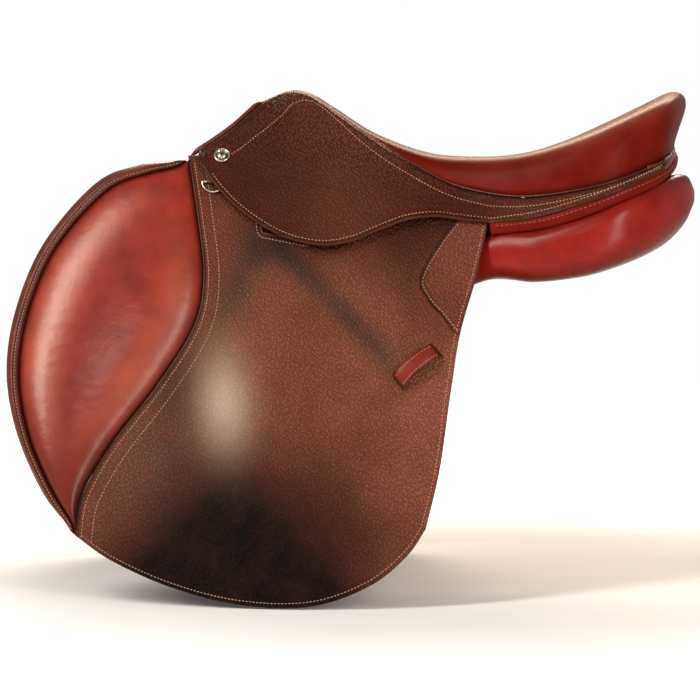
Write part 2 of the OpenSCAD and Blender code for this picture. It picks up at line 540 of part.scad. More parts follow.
// The block rests on the sweat flap
block_out = sweat_out + gap + thigh_block_t;
module thigh_block(right) both_sides(right) color(BLOCK) {
    grid = [for (v = steps(8)) let (a = along(BLOCK_FRONT, v), b = along(BLOCK_REAR, v))
        [for (u = steps(4)) let (q = a + (b - a) * u, rise = pow(sin(180 * u), 0.5) * pow(sin(180 * v), 0.4))
            [q[0], q[1], block_out - (thigh_block_t - 1) * (1 - rise)]]];
    plate([for (r = grid) [for (q = r) on_side(q[0], q[1], q[2])]],
          [for (r = grid) [for (q = r) on_side(q[0], q[1], block_out - thigh_block_t)]]);
}

// Stirrup bar with its end catch
bar_at = [-163, 28, -21];
bar_plate_t = 3;
bar_low = bar_plate_t + bar_gap;
catch_pin_r = 1.8;
catch_t = 3.4;
catch_l = 18;
catch_x = bar_l / 2 - 6;
// Where the bar is cut back for the catch, its ends, its arm and its plate above and below
catch_seat = 10;
bar_end = 6;
bar_arm = 8;
bar_plate_h = [14, 50];
bar_rivet_x = 20;
bar_rivet_in = 8;
bar_rivet_r = 3;
bar_rivet_l = 8.65;
module stirrup_bar(right) both_sides(right) color(STEEL) lay_on_side(bar_at[0], bar_at[1], bar_at[2]) {
    translate([-bar_l / 2 - bar_end, -bar_plate_h[0], 0])
        cube([bar_l + 2 * bar_end, bar_plate_h[0] + bar_plate_h[1], bar_plate_t]);
    translate([-bar_l / 2 - bar_end, -bar_h / 2, 0]) cube([bar_arm, bar_h, bar_low + bar_t]);
    translate([-bar_l / 2 - bar_end, -bar_h / 2, bar_low]) cube([bar_l + bar_end - catch_seat, bar_h, bar_t]);
    translate([-bar_l / 2, -bar_h / 2, bar_low]) cube([bar_l, bar_h, bar_t - catch_t - gap]);
    translate([catch_x, 0, bar_low]) cylinder(r = catch_pin_r, h = bar_t);
    for (x = [-1, 1]) translate([x * bar_rivet_x, bar_plate_h[1] - bar_rivet_in, 0])
        cylinder(r = bar_rivet_r, h = bar_plate_t + bar_rivet_l);
}
module bar_catch(right) both_sides(right) color(STEEL) lay_on_side(bar_at[0], bar_at[1], bar_at[2])
    translate([catch_x, 0, bar_low + bar_t - catch_t]) linear_extrude(catch_t) difference() {
        union() {
            circle(r = 4);
            translate([0, -3]) square([catch_l, 6]);
        }
        circle(r = catch_pin_r + run);
    }

// Front dee in its chape, turning on a rivet in the flap
dee_at = [-226, 9];
dee_rivet_r = 2;
chape_t = 1.6;
chape_w = 13;
dee_drop = 11;
dee_sleeve_r = dee_wire_r + 0.85;
module lay_dee() lay_on_side(dee_at[0], dee_at[1], flap_t + gap) children();
module dee_rivet(right) both_sides(right) color(STEEL) lay_dee() {
    cylinder(r = dee_rivet_r, h = chape_t + gap + 0.9);
    translate([0, 0, chape_t + gap]) cylinder(r = dee_rivet_r * 2, h = 0.9);
}
module dee_chape(right) both_sides(right) color(LEATHER_DARK) lay_dee() difference() {
    union() {
        linear_extrude(chape_t) difference() {
            translate([-chape_w / 2, -dee_drop]) square([chape_w, dee_drop + 5]);
            circle(r = dee_rivet_r + run);
        }
        translate([-chape_w / 2, -dee_drop, dee_sleeve_r]) rotate([0, 90, 0])
            cylinder(r = dee_sleeve_r, h = chape_w);
    }
    translate([-chape_w, -dee_drop, dee_sleeve_r]) rotate([0, 90, 0])
        cylinder(r = dee_wire_r + run, h = 2 * chape_w);
}
module dee_ring(right) both_sides(right) color(STEEL) lay_dee() translate([0, -dee_drop, dee_sleeve_r]) {
    translate([-dee_w / 2 - dee_wire_r, 0, 0]) rotate([0, 90, 0])
        cylinder(r = dee_wire_r, h = dee_w + 2 * dee_wire_r);
    rotate([0, 0, 180]) rotate_extrude(angle = 180)
        translate([dee_w / 2 + dee_wire_r, 0]) circle(r = dee_wire_r);
}

tree_head();
head_plate();
gullet_plate();
tree_rivets();
tree_cantle();
seat_web_long();
seat_web_cross();
seat_foam();
seat_cover();
pommel_facing();
panel_channel();
rear_welt();
tree_rail(false);  // tree_rail_left
tree_rail(true);  // tree_rail_right
tree_spring(false);  // tree_spring_left
tree_spring(true);  // tree_spring_right
skirt(false);  // skirt_left
skirt(true);  // skirt_right
saddle_nail(false);  // saddle_nail_left
saddle_nail(true);  // saddle_nail_right
panel(false);  // panel_left
panel(true);  // panel_right
sweat_flap(false);  // sweat_flap_left
sweat_flap(true);  // sweat_flap_right
girth_web(false);  // girth_web_left
girth_web(true);  // girth_web_right
billet_guard(false);  // billet_guard_left
billet_guard(true);  // billet_guard_right
thigh_block(false);  // thigh_block_left
thigh_block(true);  // thigh_block_right
stirrup_bar(false);  // stirrup_bar_left
stirrup_bar(true);  // stirrup_bar_right
bar_catch(false);  // bar_catch_left
bar_catch(true);  // bar_catch_right
flap(false);  // flap_left
flap(true);  // flap_right
knee_pad(false);  // knee_pad_left
knee_pad(true);  // knee_pad_right
knee_binding(false);  // knee_binding_left
knee_binding(true);  // knee_binding_right
flap_patch(false);  // flap_patch_left
flap_patch(true);  // flap_patch_right
keeper(false);  // keeper_left
keeper(true);  // keeper_right
dee_rivet(false);  // dee_rivet_left
dee_rivet(true);  // dee_rivet_right
dee_chape(false);  // dee_chape_left
dee_chape(true);  // dee_chape_right
dee_ring(false);  // dee_ring_left
dee_ring(true);  // dee_ring_right
skirt_flap(false);  // skirt_flap_left
skirt_flap(true);  // skirt_flap_right
billet(billet_x - billet_pitch / 2, false);  // billet_front_left
billet(billet_x - billet_pitch / 2, true);  // billet_front_right
billet(billet_x + billet_pitch / 2, false);  // billet_rear_left
billet(billet_x + billet_pitch / 2, true);  // billet_rear_right
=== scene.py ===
# %% [markdown]
# # A jumping saddle, dressed from its CAD frame
#
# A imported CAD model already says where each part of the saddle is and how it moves. This lesson loads
# it as a fixed frame, lays finer leather over the plain solids, adds edges and sewing, and gives each
# surface a procedural finish. All of it could be modelled by hand, but surfaces worked out with numpy
# repeat exactly and follow the CAD's own lines. Sizes are in millimetres in the CAD frame: +X to the
# cantle, +Z up, the near side at -Y. Meshes are written in metres.

# %% Load the frame
import math
import bmesh
import bpy
import numpy as np
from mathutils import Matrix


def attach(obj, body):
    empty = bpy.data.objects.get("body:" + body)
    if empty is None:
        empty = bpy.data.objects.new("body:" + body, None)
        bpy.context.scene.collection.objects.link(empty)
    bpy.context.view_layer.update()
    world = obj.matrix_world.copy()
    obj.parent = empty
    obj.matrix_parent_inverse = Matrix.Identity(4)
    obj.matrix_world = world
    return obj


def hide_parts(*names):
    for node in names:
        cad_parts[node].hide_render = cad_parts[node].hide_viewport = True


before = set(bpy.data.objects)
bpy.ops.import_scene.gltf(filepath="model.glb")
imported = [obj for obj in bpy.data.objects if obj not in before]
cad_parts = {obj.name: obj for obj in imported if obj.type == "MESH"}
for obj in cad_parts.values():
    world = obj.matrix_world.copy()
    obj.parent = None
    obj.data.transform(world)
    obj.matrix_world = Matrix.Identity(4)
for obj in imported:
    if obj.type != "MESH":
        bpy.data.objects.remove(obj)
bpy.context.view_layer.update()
MM = 1000  # millimetres in a metre

# %% [markdown]
# ## Camera and light
#
# The photograph looks at the near side almost level. A camera could be moved by eye until it fits;
# here it is worked out: 2.6 m away, 3 degrees above the horizon, seeing 665 mm across. Polished leather
# shows what it mirrors, so a few soft boxes light it instead of one bright sky, and each gives one of
# the broad highlights in the photograph. Floor and surroundings come last, since they are only a stage.

# %% Camera
scene = bpy.context.scene
scene.view_settings.view_transform = "Standard"
AIM = np.array([-0.095, -0.130, -0.0665])
ELEVATION = math.radians(3)
DISTANCE, VIEW_WIDTH = 2.6, 0.665
eye = AIM + DISTANCE * np.array([0, -math.cos(ELEVATION), math.sin(ELEVATION)])
lens = bpy.data.cameras.new("photo_camera")
lens.sensor_width = 36
lens.angle = 2 * math.atan(VIEW_WIDTH / 2 / DISTANCE)
camera = bpy.data.objects.new("photo_camera", lens)
camera.location = eye
camera.rotation_euler = (math.pi / 2 - ELEVATION, 0, 0)
scene.collection.objects.link(camera)
scene.camera = camera
print("camera at", eye.round(3).tolist())


# %% Lamps
def soft_lamp(name, place, target, wide, tall, power, colour):
    """A softbox of that width and height in metres, at place, turned so that its face looks at target."""
    lamp = bpy.data.lights.new(name, "AREA")
    lamp.shape = "RECTANGLE"
    lamp.size, lamp.size_y = wide, tall
    lamp.energy, lamp.color = power, colour
    holder = bpy.data.objects.new(name, lamp)
    way = np.array(target) - np.array(place)
    flat = math.hypot(way[0], way[1])
    holder.location = place
    holder.rotation_euler = (math.atan2(flat, -way[2]), 0, math.atan2(way[1], way[0]) - math.pi / 2)
    scene.collection.objects.link(holder)


WARM_WHITE, TAN = (1.0, 0.92, 0.8), (1.0, 0.8, 0.6)
LAMPS = (
    # tall box at the front left: the long lights on knee pad and flap
    ("key_lamp", (-1.66, -1.2, 1.35), (-0.1, 0, -0.05), 0.4, 1.5, 48, WARM_WHITE),
    # small box beside the camera: the polished spot on the flap
    ("front_lamp", (-0.74, -2.0, 1.17), (-0.2, -0.15, -0.1), 0.3, 0.3, 3.0, WARM_WHITE),
    # tall box at the rear right: the flap's rear half, the cantle and the panel
    ("right_lamp", (0.8, -2.05, 0.75), (-0.2, -0.1, -0.1), 0.3, 1.0, 22, WARM_WHITE),
    # low box: the panel's belly
    ("low_lamp", (0.85, -2.1, -0.05), (0.1, 0, 0), 0.45, 0.2, 8, WARM_WHITE),
    # wide box behind: the tan line along the seat's crest
    ("back_top_lamp", (0.15, 1.5, 1.2), (0.05, 0, 0.1), 1.6, 0.5, 36, TAN),
)
for lamp in LAMPS:
    soft_lamp(*lamp)
print("lamps:", len(LAMPS))

# %% [markdown]
# ## Curves and the saddle's side
#
# A saddler cuts leather to a line and lays it over the tree. So the script needs smooth lines and a side
# for them to lie on. Blender's own curve objects could do it, but a line that is a plain function can be
# read anywhere, as the CAD source does with the same rules. The side falls outwards below a straight
# fold line: d is the distance below that line, and t the distance outwards from the flap's inner face.

# %% Curves
def curve(points, u):
    """A smooth line through points at u from 0 to 1: cubic pieces with each slope along its neighbours."""
    p = np.asarray(points, float)
    if p.ndim == 1:
        p = p[:, None]
    n = len(p) - 1
    s = np.clip(np.asarray(u, float), 0, 1) * n
    i = np.minimum(s.astype(int), n - 1)
    t = (s - i)[..., None]
    q = np.vstack([2 * p[0] - p[1], p, 2 * p[-1] - p[-2]])
    a, b, c, d = q[i], q[i + 1], q[i + 2], q[i + 3]
    return ((2 * b) + (c - a) * t + (2 * a - 5 * b + 4 * c - d) * t**2
            + (3 * b - a - 3 * c + d) * t**3) / 2


def curve_at_x(points, x):
    """The same line, read off at x instead of u, from a fine table."""
    fine = curve(points, np.linspace(0, 1, 2001))
    return np.stack([np.interp(x, fine[:, 0], fine[:, k]) for k in range(fine.shape[1])], -1)


def even(path, step=None, count=None):
    """Points evenly spread along a path by its running length: one every step, or that many."""
    far = np.r_[0, np.cumsum(np.linalg.norm(np.diff(path, axis=0), axis=1))]
    at = np.linspace(0, far[-1], count or max(int(far[-1] / step), 2) + 1)
    return np.stack([np.interp(at, far, path[:, k]) for k in range(path.shape[1])], -1)


U = np.linspace(0, 1, 400)
FLIP = np.array([1, -1, 1])  # to the other side of the middle plane
SIDES = (("left", False), ("right", True))
print("curves are read at", len(U), "places")

# %% The side
FOLD_A, FOLD_B = np.array([-250, 66, 117.0]), np.array([36, 116, 56.0])
FLARE = (FOLD_B - FOLD_A) / (FOLD_B[0] - FOLD_A[0])
SLOPE, ROUND = 0.45, 0.00021
FLAP_T, SKIRT_GAP, SKIRT_T = 4.5, 5.0, 4.0
SKIRT_IN = FLAP_T + SKIRT_GAP
SKIRT_OUT = SKIRT_IN + SKIRT_T


def fold(x, k):
    """Height (k 2) or half width (k 1) of the fold line at x."""
    return FOLD_A[k] + FLARE[k] * (x - FOLD_A[0])


def side(x, d, t):
    """A point d below the fold line and t outwards: width grows by SLOPE per mm, less with depth by ROUND."""
    x, d, t = np.broadcast_arrays(np.asarray(x, float), d, t)
    w = fold(x, 1) + SLOPE * d - ROUND * d * np.abs(d) + t
    return np.stack([x, -w, fold(x, 2) - d], -1)


def side_out(d):
    """The way outwards from the side at d below the fold line: square to its slope and to its flare."""
    fall = SLOPE - 2 * ROUND * np.abs(d)
    return np.stack([-fall * FLARE[2] - FLARE[1], -np.ones_like(d), fall + 0 * d], -1)


print("400 mm below the fold the side is at", side(-196, 400, 0).round(0).tolist())

# %% [markdown]
# ## Materials
#
# Real leather is hide with pores, dyed, waxed and worn. An image of it could be mapped on, but here each
# finish is built from noise and cell patterns on Object coordinates, so it has no seams and its scale is
# a real size. One helper adds a node, whatever its kind. Places that are worn, dark or polished come from
# attributes that each piece works out for its own points, and so do painted highlights, sheen and shade.

# %% Node helpers
def linear(text):
    """An sRGB hex colour as linear red, green, blue and alpha."""
    c = np.array([int(text[k:k + 2], 16) for k in (1, 3, 5)]) / 255
    c = np.where(c <= 0.04045, c / 12.92, ((c + 0.055) / 1.055) ** 2.4)
    return (*[float(v) for v in c], 1.0)


def fill(tree, node, values):
    """Fills sockets, by order or by name: each with a link, a number, a vector or a hex colour."""
    for at, value in values.items() if isinstance(values, dict) else enumerate(values):
        if isinstance(value, bpy.types.NodeSocket):
            tree.links.new(value, node.inputs[at])
        else:
            node.inputs[at].default_value = linear(value) if isinstance(value, str) else value


def add(tree, kind, values=(), out=0, **settings):
    """Adds one shader node with its settings, fills its sockets, and gives the output asked for."""
    node = tree.nodes.new("ShaderNode" + kind)
    for name, value in settings.items():
        setattr(node, name, value)
    fill(tree, node, values)
    return node.outputs[out]


def new_material(name, colour):
    """An empty node material with its surface shader; colour is what a plain viewport shows."""
    m = bpy.data.materials.new(name)
    m.use_nodes = True
    m.diffuse_color = linear(colour)
    return m, m.node_tree, m.node_tree.nodes["Principled BSDF"]


MULTIPLY = {"operation": "MULTIPLY"}
COLOUR = {"data_type": "RGBA"}
FROM, TO, MIXED = 6, 7, 2  # the colour sockets of a Mix node
print("colours are written as hex, such as #471810:", np.round(linear("#471810"), 3).tolist())

# %% [markdown]
# ## Leathers
#
# Two leathers do most of the work: pebbled hide on flaps and skirts, smooth calf on seat, pads and panels.
# One function makes them all, because they differ only in tone, grain and gloss. Pebbles are the cells of
# a Voronoi pattern, rounded to domes. On the flaps it is laid flat on the side, in two dimensions, since
# a cut through cells in space leaves pebbles of all sizes. Where such leather turns over the top, it is
# drawn tight, so the relief fades there.

# %% Leather
# Sizes in mm. Pores are really about 0.2 mm wide; they are drawn wider so that they show.
BLOTCH, CLOUD, PORE = 26.3, 71.4, 1.11
FOLDS = (24.0, 24.0, 14.2)
MARKS = ("warm", "smudge", "rub", "ash")


def leather(name, tones, grain, relief, rough, gloss, coat=0.0, creases=0.0, polish=0.0, crown=0.0, laid="3D"):
    """Leather of four tones: deep, mid, light and worn. grain is a pebble's width and relief its height.

    Colour: blotches move between deep and mid; the mark of warmth and painted highlight moves it to light,
    the grey mark to a greyed brown, and the mark of dirt and painted shade to the darkest tone. Pebble tops
    are painted lighter by crown, as a highlight, and the pits between them darker, as painted shade.
    Roughness follows the pores and drops where the leather is rubbed; polish is the clear coat there, and
    there a pale sheen is painted into the colour. creases is the height of low folds.
    """
    deep, mid, light, worn_and_shaded = tones
    m, tree, shader = new_material(name, mid)
    place = add(tree, "TexCoord", out="Object")
    laid_flat = add(tree, "Mapping", {"Vector": place, "Rotation": (-math.pi / 2, 0.0, -math.pi / 6)})
    drawn = add(tree, "Mapping", {"Vector": laid_flat, "Scale": (1.0, 0.74, 1.0)})
    cells = add(tree, "TexVoronoi", {"Vector": drawn, "Scale": MM / grain, "Randomness": 0.85}, "Distance",
                voronoi_dimensions=laid)
    pebble = add(tree, "MapRange", [cells, 0.04, 0.6, 1.0, 0.0], interpolation_type="SMOOTHSTEP")
    slow = add(tree, "TexNoise", {"Vector": place, "Scale": MM / BLOTCH, "Detail": 5.0, "Roughness": 0.6})
    broad = add(tree, "TexNoise", {"Vector": place, "Scale": MM / CLOUD, "Detail": 3.0, "Roughness": 0.55})
    fine = add(tree, "TexNoise", {"Vector": place, "Scale": MM / PORE, "Detail": 3.0})
    warm, smudge, rub, ash = (add(tree, "Attribute", out="Fac", attribute_name=mark) for mark in MARKS)

    blotched = add(tree, "MapRange", [slow, 0.32, 0.68, 0.0, 1.0])
    tone = add(tree, "Mix", {0: blotched, FROM: deep, TO: mid}, MIXED, **COLOUR)
    # The light tone stands for warmth and for painted highlight, the darkest tone for dirt and for painted shade.
    uneven = ((warm, broad, (0.36, 0.6, 0.7, 1.1), light), (ash, slow, (0.35, 0.6, 0.6, 1.0), "#4d3c35"),
              (smudge, slow, (0.3, 0.62, 0.87, 1.0), worn_and_shaded))
    for mark, noise, span, colour in uneven:
        amount = add(tree, "Math", [mark, add(tree, "MapRange", [noise, *span])], **MULTIPLY)
        tone = add(tree, "Mix", {0: amount, FROM: tone, TO: colour}, MIXED, **COLOUR)
    # Painted highlight and shade: pebble tops lighter, the pits between them darker.
    painted_pebble_shading = add(tree, "MapRange", [pebble, 0.0, 1.0, 1.0 - 0.7 * crown, 1.0 + crown])
    tone = add(tree, "HueSaturation", {"Color": tone, "Value": painted_pebble_shading})
    if polish:
        # A pale painted sheen is mixed into the colour where the leather is rubbed, as well as its clear coat.
        painted_sheen = add(tree, "MapRange", [rub, 0.0, 1.0, 0.0, 0.52])
        tone = add(tree, "Mix", {0: painted_sheen, FROM: tone, TO: "#a3947b"}, MIXED, **COLOUR)
        coat = add(tree, "MapRange", [rub, 0.0, 1.0, coat, polish])

    dull = add(tree, "MapRange", [fine, 0.3, 0.7, rough - 0.06, rough + 0.08])
    shiny = add(tree, "MapRange", [rub, 0.0, 1.0, 1.0, 0.55])
    rubbed_flat = add(tree, "MapRange", [rub, 0.0, 1.0, 1.0, 0.25])
    heights = [add(tree, "Math", [pebble, rubbed_flat], **MULTIPLY), fine]
    if laid == "2D":
        sideways = add(tree, "SeparateXYZ", [add(tree, "TexCoord", out="Normal")], "Y")
        sideways = add(tree, "Math", [sideways], operation="ABSOLUTE")
        tight = add(tree, "MapRange", [sideways, 0.5, 0.86, 0.03, 1.0])
        heights = [add(tree, "Math", [height, tight], **MULTIPLY) for height in heights]
    normal = add(tree, "Bump", {"Height": heights[0], "Strength": 1.0, "Distance": relief / MM})
    normal = add(tree, "Bump", {"Height": heights[1], "Normal": normal, "Strength": 0.5,
                                "Distance": relief * 0.35 / MM})
    if creases:
        stretched = add(tree, "Mapping", {"Vector": place, "Scale": [MM / size for size in FOLDS]})
        low_folds = add(tree, "TexNoise", {"Vector": stretched, "Scale": 1.0, "Detail": 4.0, "Roughness": 0.55})
        normal = add(tree, "Bump", {"Height": low_folds, "Normal": normal, "Strength": 1.0,
                                    "Distance": creases / MM})
    fill(tree, shader, {"Base Color": tone, "Roughness": add(tree, "Math", [dull, shiny], **MULTIPLY),
                        "Coat Weight": coat, "Coat Roughness": 0.22, "Specular IOR Level": gloss, "Normal": normal})
    return m


print("marks that a leather reads:", ", ".join(MARKS))

# %% Seven leathers
# Pebbled cowhide, pressed and waxed. To the eye: matt brown, its pebble tops painted light as a highlight
# over pits painted dark as shade, and a greyish shine where the leg has rubbed it flat, partly a painted
# sheen. Real pebbles are nearer 1.5 mm; wider ones show.
GRAINED = leather("grained_leather", ("#34110b", "#471810", "#824939", "#070302"), grain=2.5, relief=1.2,
                  rough=0.36, gloss=0.1, polish=0.6, crown=0.5, laid="2D")
# The smooth leathers' own grain is near 0.3 mm, too fine to show, so it is drawn about 1 mm wide.
# Smooth calf, dyed and glazed. To the eye: clear red with broad soft highlights and low folds.
CALF = leather("smooth_calf", ("#6a190d", "#8a2814", "#bd7458", "#380c05"), grain=1.2, relief=0.04,
               rough=0.35, gloss=0.24, coat=0.03, creases=0.5)
# The seat's calf, worn by sitting. To the eye: dull deep red, dry and paler over its top; its tan light tone
# paints a highlight along the crest of the roll.
SEAT_CALF = leather("seat_calf", ("#5c1108", "#6d190d", "#98654b", "#300a04"), grain=1.2, relief=0.04,
                    rough=0.34, gloss=0.03, creases=0.3)
# The panels' calf, hardly touched. To the eye: the reddest leather, even, with a soft sheen.
PANEL_CALF = leather("panel_calf", ("#741408", "#8c1b0c", "#ac4028", "#3c0c05"), grain=1.2, relief=0.04,
                     rough=0.3, gloss=0.18, coat=0.04, creases=0.4)
# Oiled strap leather, thick and tight. To the eye: dark brown with fine pores and a waxy film.
STRAP = leather("strap_leather", ("#33201a", "#472a22", "#5b382c", "#20140f"), grain=0.9, relief=0.06,
                rough=0.4, gloss=0.25, coat=0.1)
# Thin calf rolled over a core. To the eye: brown, with one narrow light along the roll.
BINDING = leather("binding_calf", ("#4e1d12", "#642a1a", "#80442e", "#2a0c06"), grain=1.2, relief=0.05,
                  rough=0.3, gloss=0.2, coat=0.1, creases=0.3)
# A cut edge, dyed and burnished. To the eye: a smooth dark outline with a thin glint.
EDGE = leather("dyed_edge", ("#36190f", "#482416", "#6a4a36", "#120c0b"), grain=0.8, relief=0.04,
               rough=0.28, gloss=0.14)
LEATHERS = (GRAINED, CALF, SEAT_CALF, PANEL_CALF, STRAP, BINDING, EDGE)
print("leathers:", ", ".join(m.name for m in LEATHERS))

# %% [markdown]
# ## Thread, metal, wood and web
#
# The other finishes are small or hidden: linen thread in every seam, nickel on nails and dees, steel and
# laminated beech in the tree, jute web under the seat. Flat colours would do at this size, but each has a
# tell-tale pattern: a twist, a haze of handling, close rings, crosswise ribs. One noise or wave is
# enough for each.

# %% Thread, metal and fibre
TWIST, HAZE = 0.714, 6.25  # mm; a real twist is nearer 0.3 mm, too fine to show
WAVE = math.pi / 10  # length of one wave of the Wave Texture at scale 1


def thread(name, colour, shade):
    """Waxed linen thread: fine noise moves tone and height, as the strands of its twist do."""
    m, tree, shader = new_material(name, colour)
    place = add(tree, "TexCoord", out="Object")
    strands = add(tree, "TexNoise", {"Vector": place, "Scale": MM / TWIST, "Detail": 2.0})
    tone = add(tree, "Mix", {0: add(tree, "MapRange", [strands, 0.35, 0.65, 0.0, 1.0]), FROM: shade, TO: colour},
               MIXED, **COLOUR)
    normal = add(tree, "Bump", {"Height": strands, "Strength": 0.6, "Distance": 0.1 / MM})
    fill(tree, shader, {"Base Color": tone, "Normal": normal, "Roughness": 0.7})
    return m


def metal(name, colour, shade, rough):
    """Metal with faint handling marks: one noise moves both tone and roughness."""
    m, tree, shader = new_material(name, colour)
    place = add(tree, "TexCoord", out="Object")
    haze = add(tree, "TexNoise", {"Vector": place, "Scale": MM / HAZE, "Detail": 6.0, "Roughness": 0.7})
    tone = add(tree, "Mix", {0: add(tree, "MapRange", [haze, 0.3, 0.7, 0.0, 1.0]), FROM: shade, TO: colour},
               MIXED, **COLOUR)
    fill(tree, shader, {"Base Color": tone, "Metallic": 1.0,
                        "Roughness": add(tree, "MapRange", [haze, 0.3, 0.7, rough + 0.12, rough])})
    return m


def fibre(name, colour, shade, pitch, relief):
    """Wood or web: bands one pitch apart times a noise six times finer, for tone and for height."""
    m, tree, shader = new_material(name, colour)
    place = add(tree, "TexCoord", out="Object")
    scale = WAVE * MM / pitch
    bands = add(tree, "TexWave", {"Vector": place, "Scale": scale, "Distortion": 2.5, "Detail": 2.0}, 1)
    grains = add(tree, "TexNoise", {"Vector": place, "Scale": scale * 6, "Detail": 4.0})
    both = add(tree, "Math", [add(tree, "MapRange", [bands, 0.0, 1.0, 0.6, 1.0]), grains], **MULTIPLY)
    tone = add(tree, "Mix", {0: add(tree, "MapRange", [both, 0.2, 0.6, 0.0, 1.0]), FROM: shade, TO: colour},
               MIXED, **COLOUR)
    normal = add(tree, "Bump", {"Height": both, "Strength": 0.8, "Distance": relief / MM})
    fill(tree, shader, {"Base Color": tone, "Normal": normal, "Roughness": 0.75})
    return m


print("thread twist is drawn", TWIST, "mm wide")

# %% Small finishes
# Waxed linen. To the eye: pale dry dots in a row, which draw every seam.
THREAD = thread("linen_thread", "#bd9a7a", "#86644d")
# The same thread dyed brown. To the eye: dashes that hardly stand out from the welt.
DARK_THREAD = thread("brown_thread", "#8c5c46", "#5a3122")
# Polished nickel plate. To the eye: a warm grey mirror, a little hazy from handling.
NICKEL = metal("nickel", "#d2cdbd", "#98937f", 0.16)
# Rolled steel, left dull. To the eye: grey with wide soft glints.
STEEL = metal("tree_steel", "#6f7174", "#4c4e50", 0.36)
# Laminated beech. To the eye: pale brown with close darker rings.
WOOD = fibre("laminated_beech", "#c79b68", "#9c7142", pitch=5.236, relief=0.2)
# Woven jute. To the eye: pale and dry with fine ribs.
WEBBING = fibre("jute_web", "#cfc3a6", "#a3967a", pitch=0.748, relief=0.3)
FINISHES = (THREAD, DARK_THREAD, NICKEL, STEEL, WOOD, WEBBING)
print("small finishes:", ", ".join(m.name for m in FINISHES))

# %% [markdown]
# ## Building blocks
#
# Everything sewn on a saddle is a sheet, a roll or a row of stitches. A sheet could be a plane with a
# Solidify modifier and a roll a bevelled curve, but grids of points give both faces their own shape. So a
# shell closes an outer and an inner grid with walls, a tube joins rings of points along a path, and
# stitches are small beads set along a path. Each can be mirrored to the off side, with its faces turned.

# %% Meshes from points
def put(name, mesh, body, materials):
    """A mesh as a finished object at the origin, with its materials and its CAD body."""
    mesh.materials.clear()
    for m in materials:
        mesh.materials.append(m)
    obj = bpy.data.objects.new(name, mesh)
    scene.collection.objects.link(obj)
    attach(obj, body)
    return obj


def welded(points, faces):
    """Points that coincide become one, and faces that lose a side become triangles."""
    _, first, back = np.unique(points.round(4), axis=0, return_index=True, return_inverse=True)
    faces = back.reshape(-1)[faces]
    out = [list(dict.fromkeys(f)) for f in faces.tolist()]
    return first, [f for f in out if len(f) > 2]


def piece(name, points, faces, body, materials, right=False, kinds=None, marks=None, weld=False):
    """A smooth mesh object from points in mm; mirrored for the off side, with each face's order turned."""
    points = np.asarray(points, float)
    if right:
        points, faces = points * FLIP, faces[:, ::-1]
    if weld:
        kept, faces = welded(points, faces)
        points = points[kept]
        marks = {k: v[kept] for k, v in marks.items()} if marks else None
    else:
        faces = faces.tolist()
    mesh = bpy.data.meshes.new(name)
    mesh.from_pydata((points / MM).tolist(), [], faces)
    mesh.shade_smooth()
    obj = put(name, mesh, body, materials)
    if kinds is not None:
        mesh.polygons.foreach_set("material_index", np.asarray(kinds, np.int32))
    for mark in MARKS:
        values = np.zeros(len(points)) if marks is None or mark not in marks else np.clip(marks[mark], 0, 1)
        mesh.attributes.new(mark, "FLOAT", "POINT").data.foreach_set("value", values.astype(np.float32))
    mesh.update()
    return obj


print("meshes are written in metres: 1 mm is", 1 / MM)


# %% Shells and tubes
def shell_faces(n, m, hole=None, zipped=False):
    """Faces of a closed shell of two n by m grids: outer, inner and walls, with a hole's cells left out.

    hole is [row from, row to, column from, column to]. A zipped shell has no wall along its last
    row, because that row folds onto itself. Returns the faces and which are walls.
    """
    keep = np.ones((n + 1, m + 1), bool)
    keep[0], keep[-1], keep[:, 0], keep[:, -1] = False, False, False, False
    if hole:
        keep[hole[0] + 1:hole[1] + 1, hole[2] + 1:hole[3] + 1] = False
    i, j = np.nonzero(keep[1:-1, 1:-1])
    s = n * m
    a, b, c, d = i * m + j, i * m + j + 1, (i + 1) * m + j + 1, (i + 1) * m + j
    flat = [np.stack([a, d, c, b], 1), np.stack([a, b, c, d], 1) + s]
    below = ~keep[i + 2, j + 1] & ~(zipped & (i == n - 2))
    borders = ((a, b, ~keep[i, j + 1]), (b, c, ~keep[i + 1, j + 2]), (c, d, below), (d, a, ~keep[i + 1, j]))
    walls = [np.stack([p[bare], q[bare], q[bare] + s, p[bare] + s], 1) for p, q, bare in borders]
    faces = np.vstack(flat + walls)
    return faces, np.arange(len(faces)) >= 2 * len(a)


def shell(name, outer, inner, body, material, right=False, hole=None, marks=None, zipped=False, edge=None):
    """A closed shell between an outer and an inner grid of points; its walls may take an edge material."""
    faces, wall = shell_faces(*outer.shape[:2], hole, zipped)
    points = np.vstack([outer.reshape(-1, 3), inner.reshape(-1, 3)])
    if marks:
        marks = {k: np.r_[v.reshape(-1), v.reshape(-1)] for k, v in marks.items()}
    kinds = wall.astype(int) if edge else None
    materials = [material, edge] if edge else [material]
    return piece(name, points, faces, body, materials, right, kinds, marks, zipped)


def tube(name, rings, body, material, right=False, marks=None):
    """A closed tube through rings of points: each ring joined to the next, the ends drawn to their middle."""
    n, m = rings.shape[:2]
    i, j = np.meshgrid(np.arange(n - 1), np.arange(m), indexing="ij")
    a, b = i * m + j, i * m + (j + 1) % m
    sides = np.stack([a, a + m, b + m, b], -1).reshape(-1, 4)
    k, hub = np.arange(m), np.full(m, n * m)
    last = (n - 1) * m
    first_end = np.stack([k, (k + 1) % m, hub, hub], 1)
    last_end = np.stack([last + (k + 1) % m, last + k, hub + 1, hub + 1], 1)
    points = np.vstack([rings.reshape(-1, 3), rings[0].mean(0), rings[-1].mean(0)])
    faces = np.vstack([sides, first_end, last_end])
    return piece(name, points, faces, body, [material], right, marks=marks, weld=True)


print("a shell of 3 by 4 points has", len(shell_faces(3, 4)[0]), "faces")


# %% Stitches
def along_path(path):
    """The way along a path at each of its points, of length 1, from its neighbours on both sides."""
    e = np.gradient(path, axis=0)
    return e / np.linalg.norm(e, axis=1, keepdims=True)


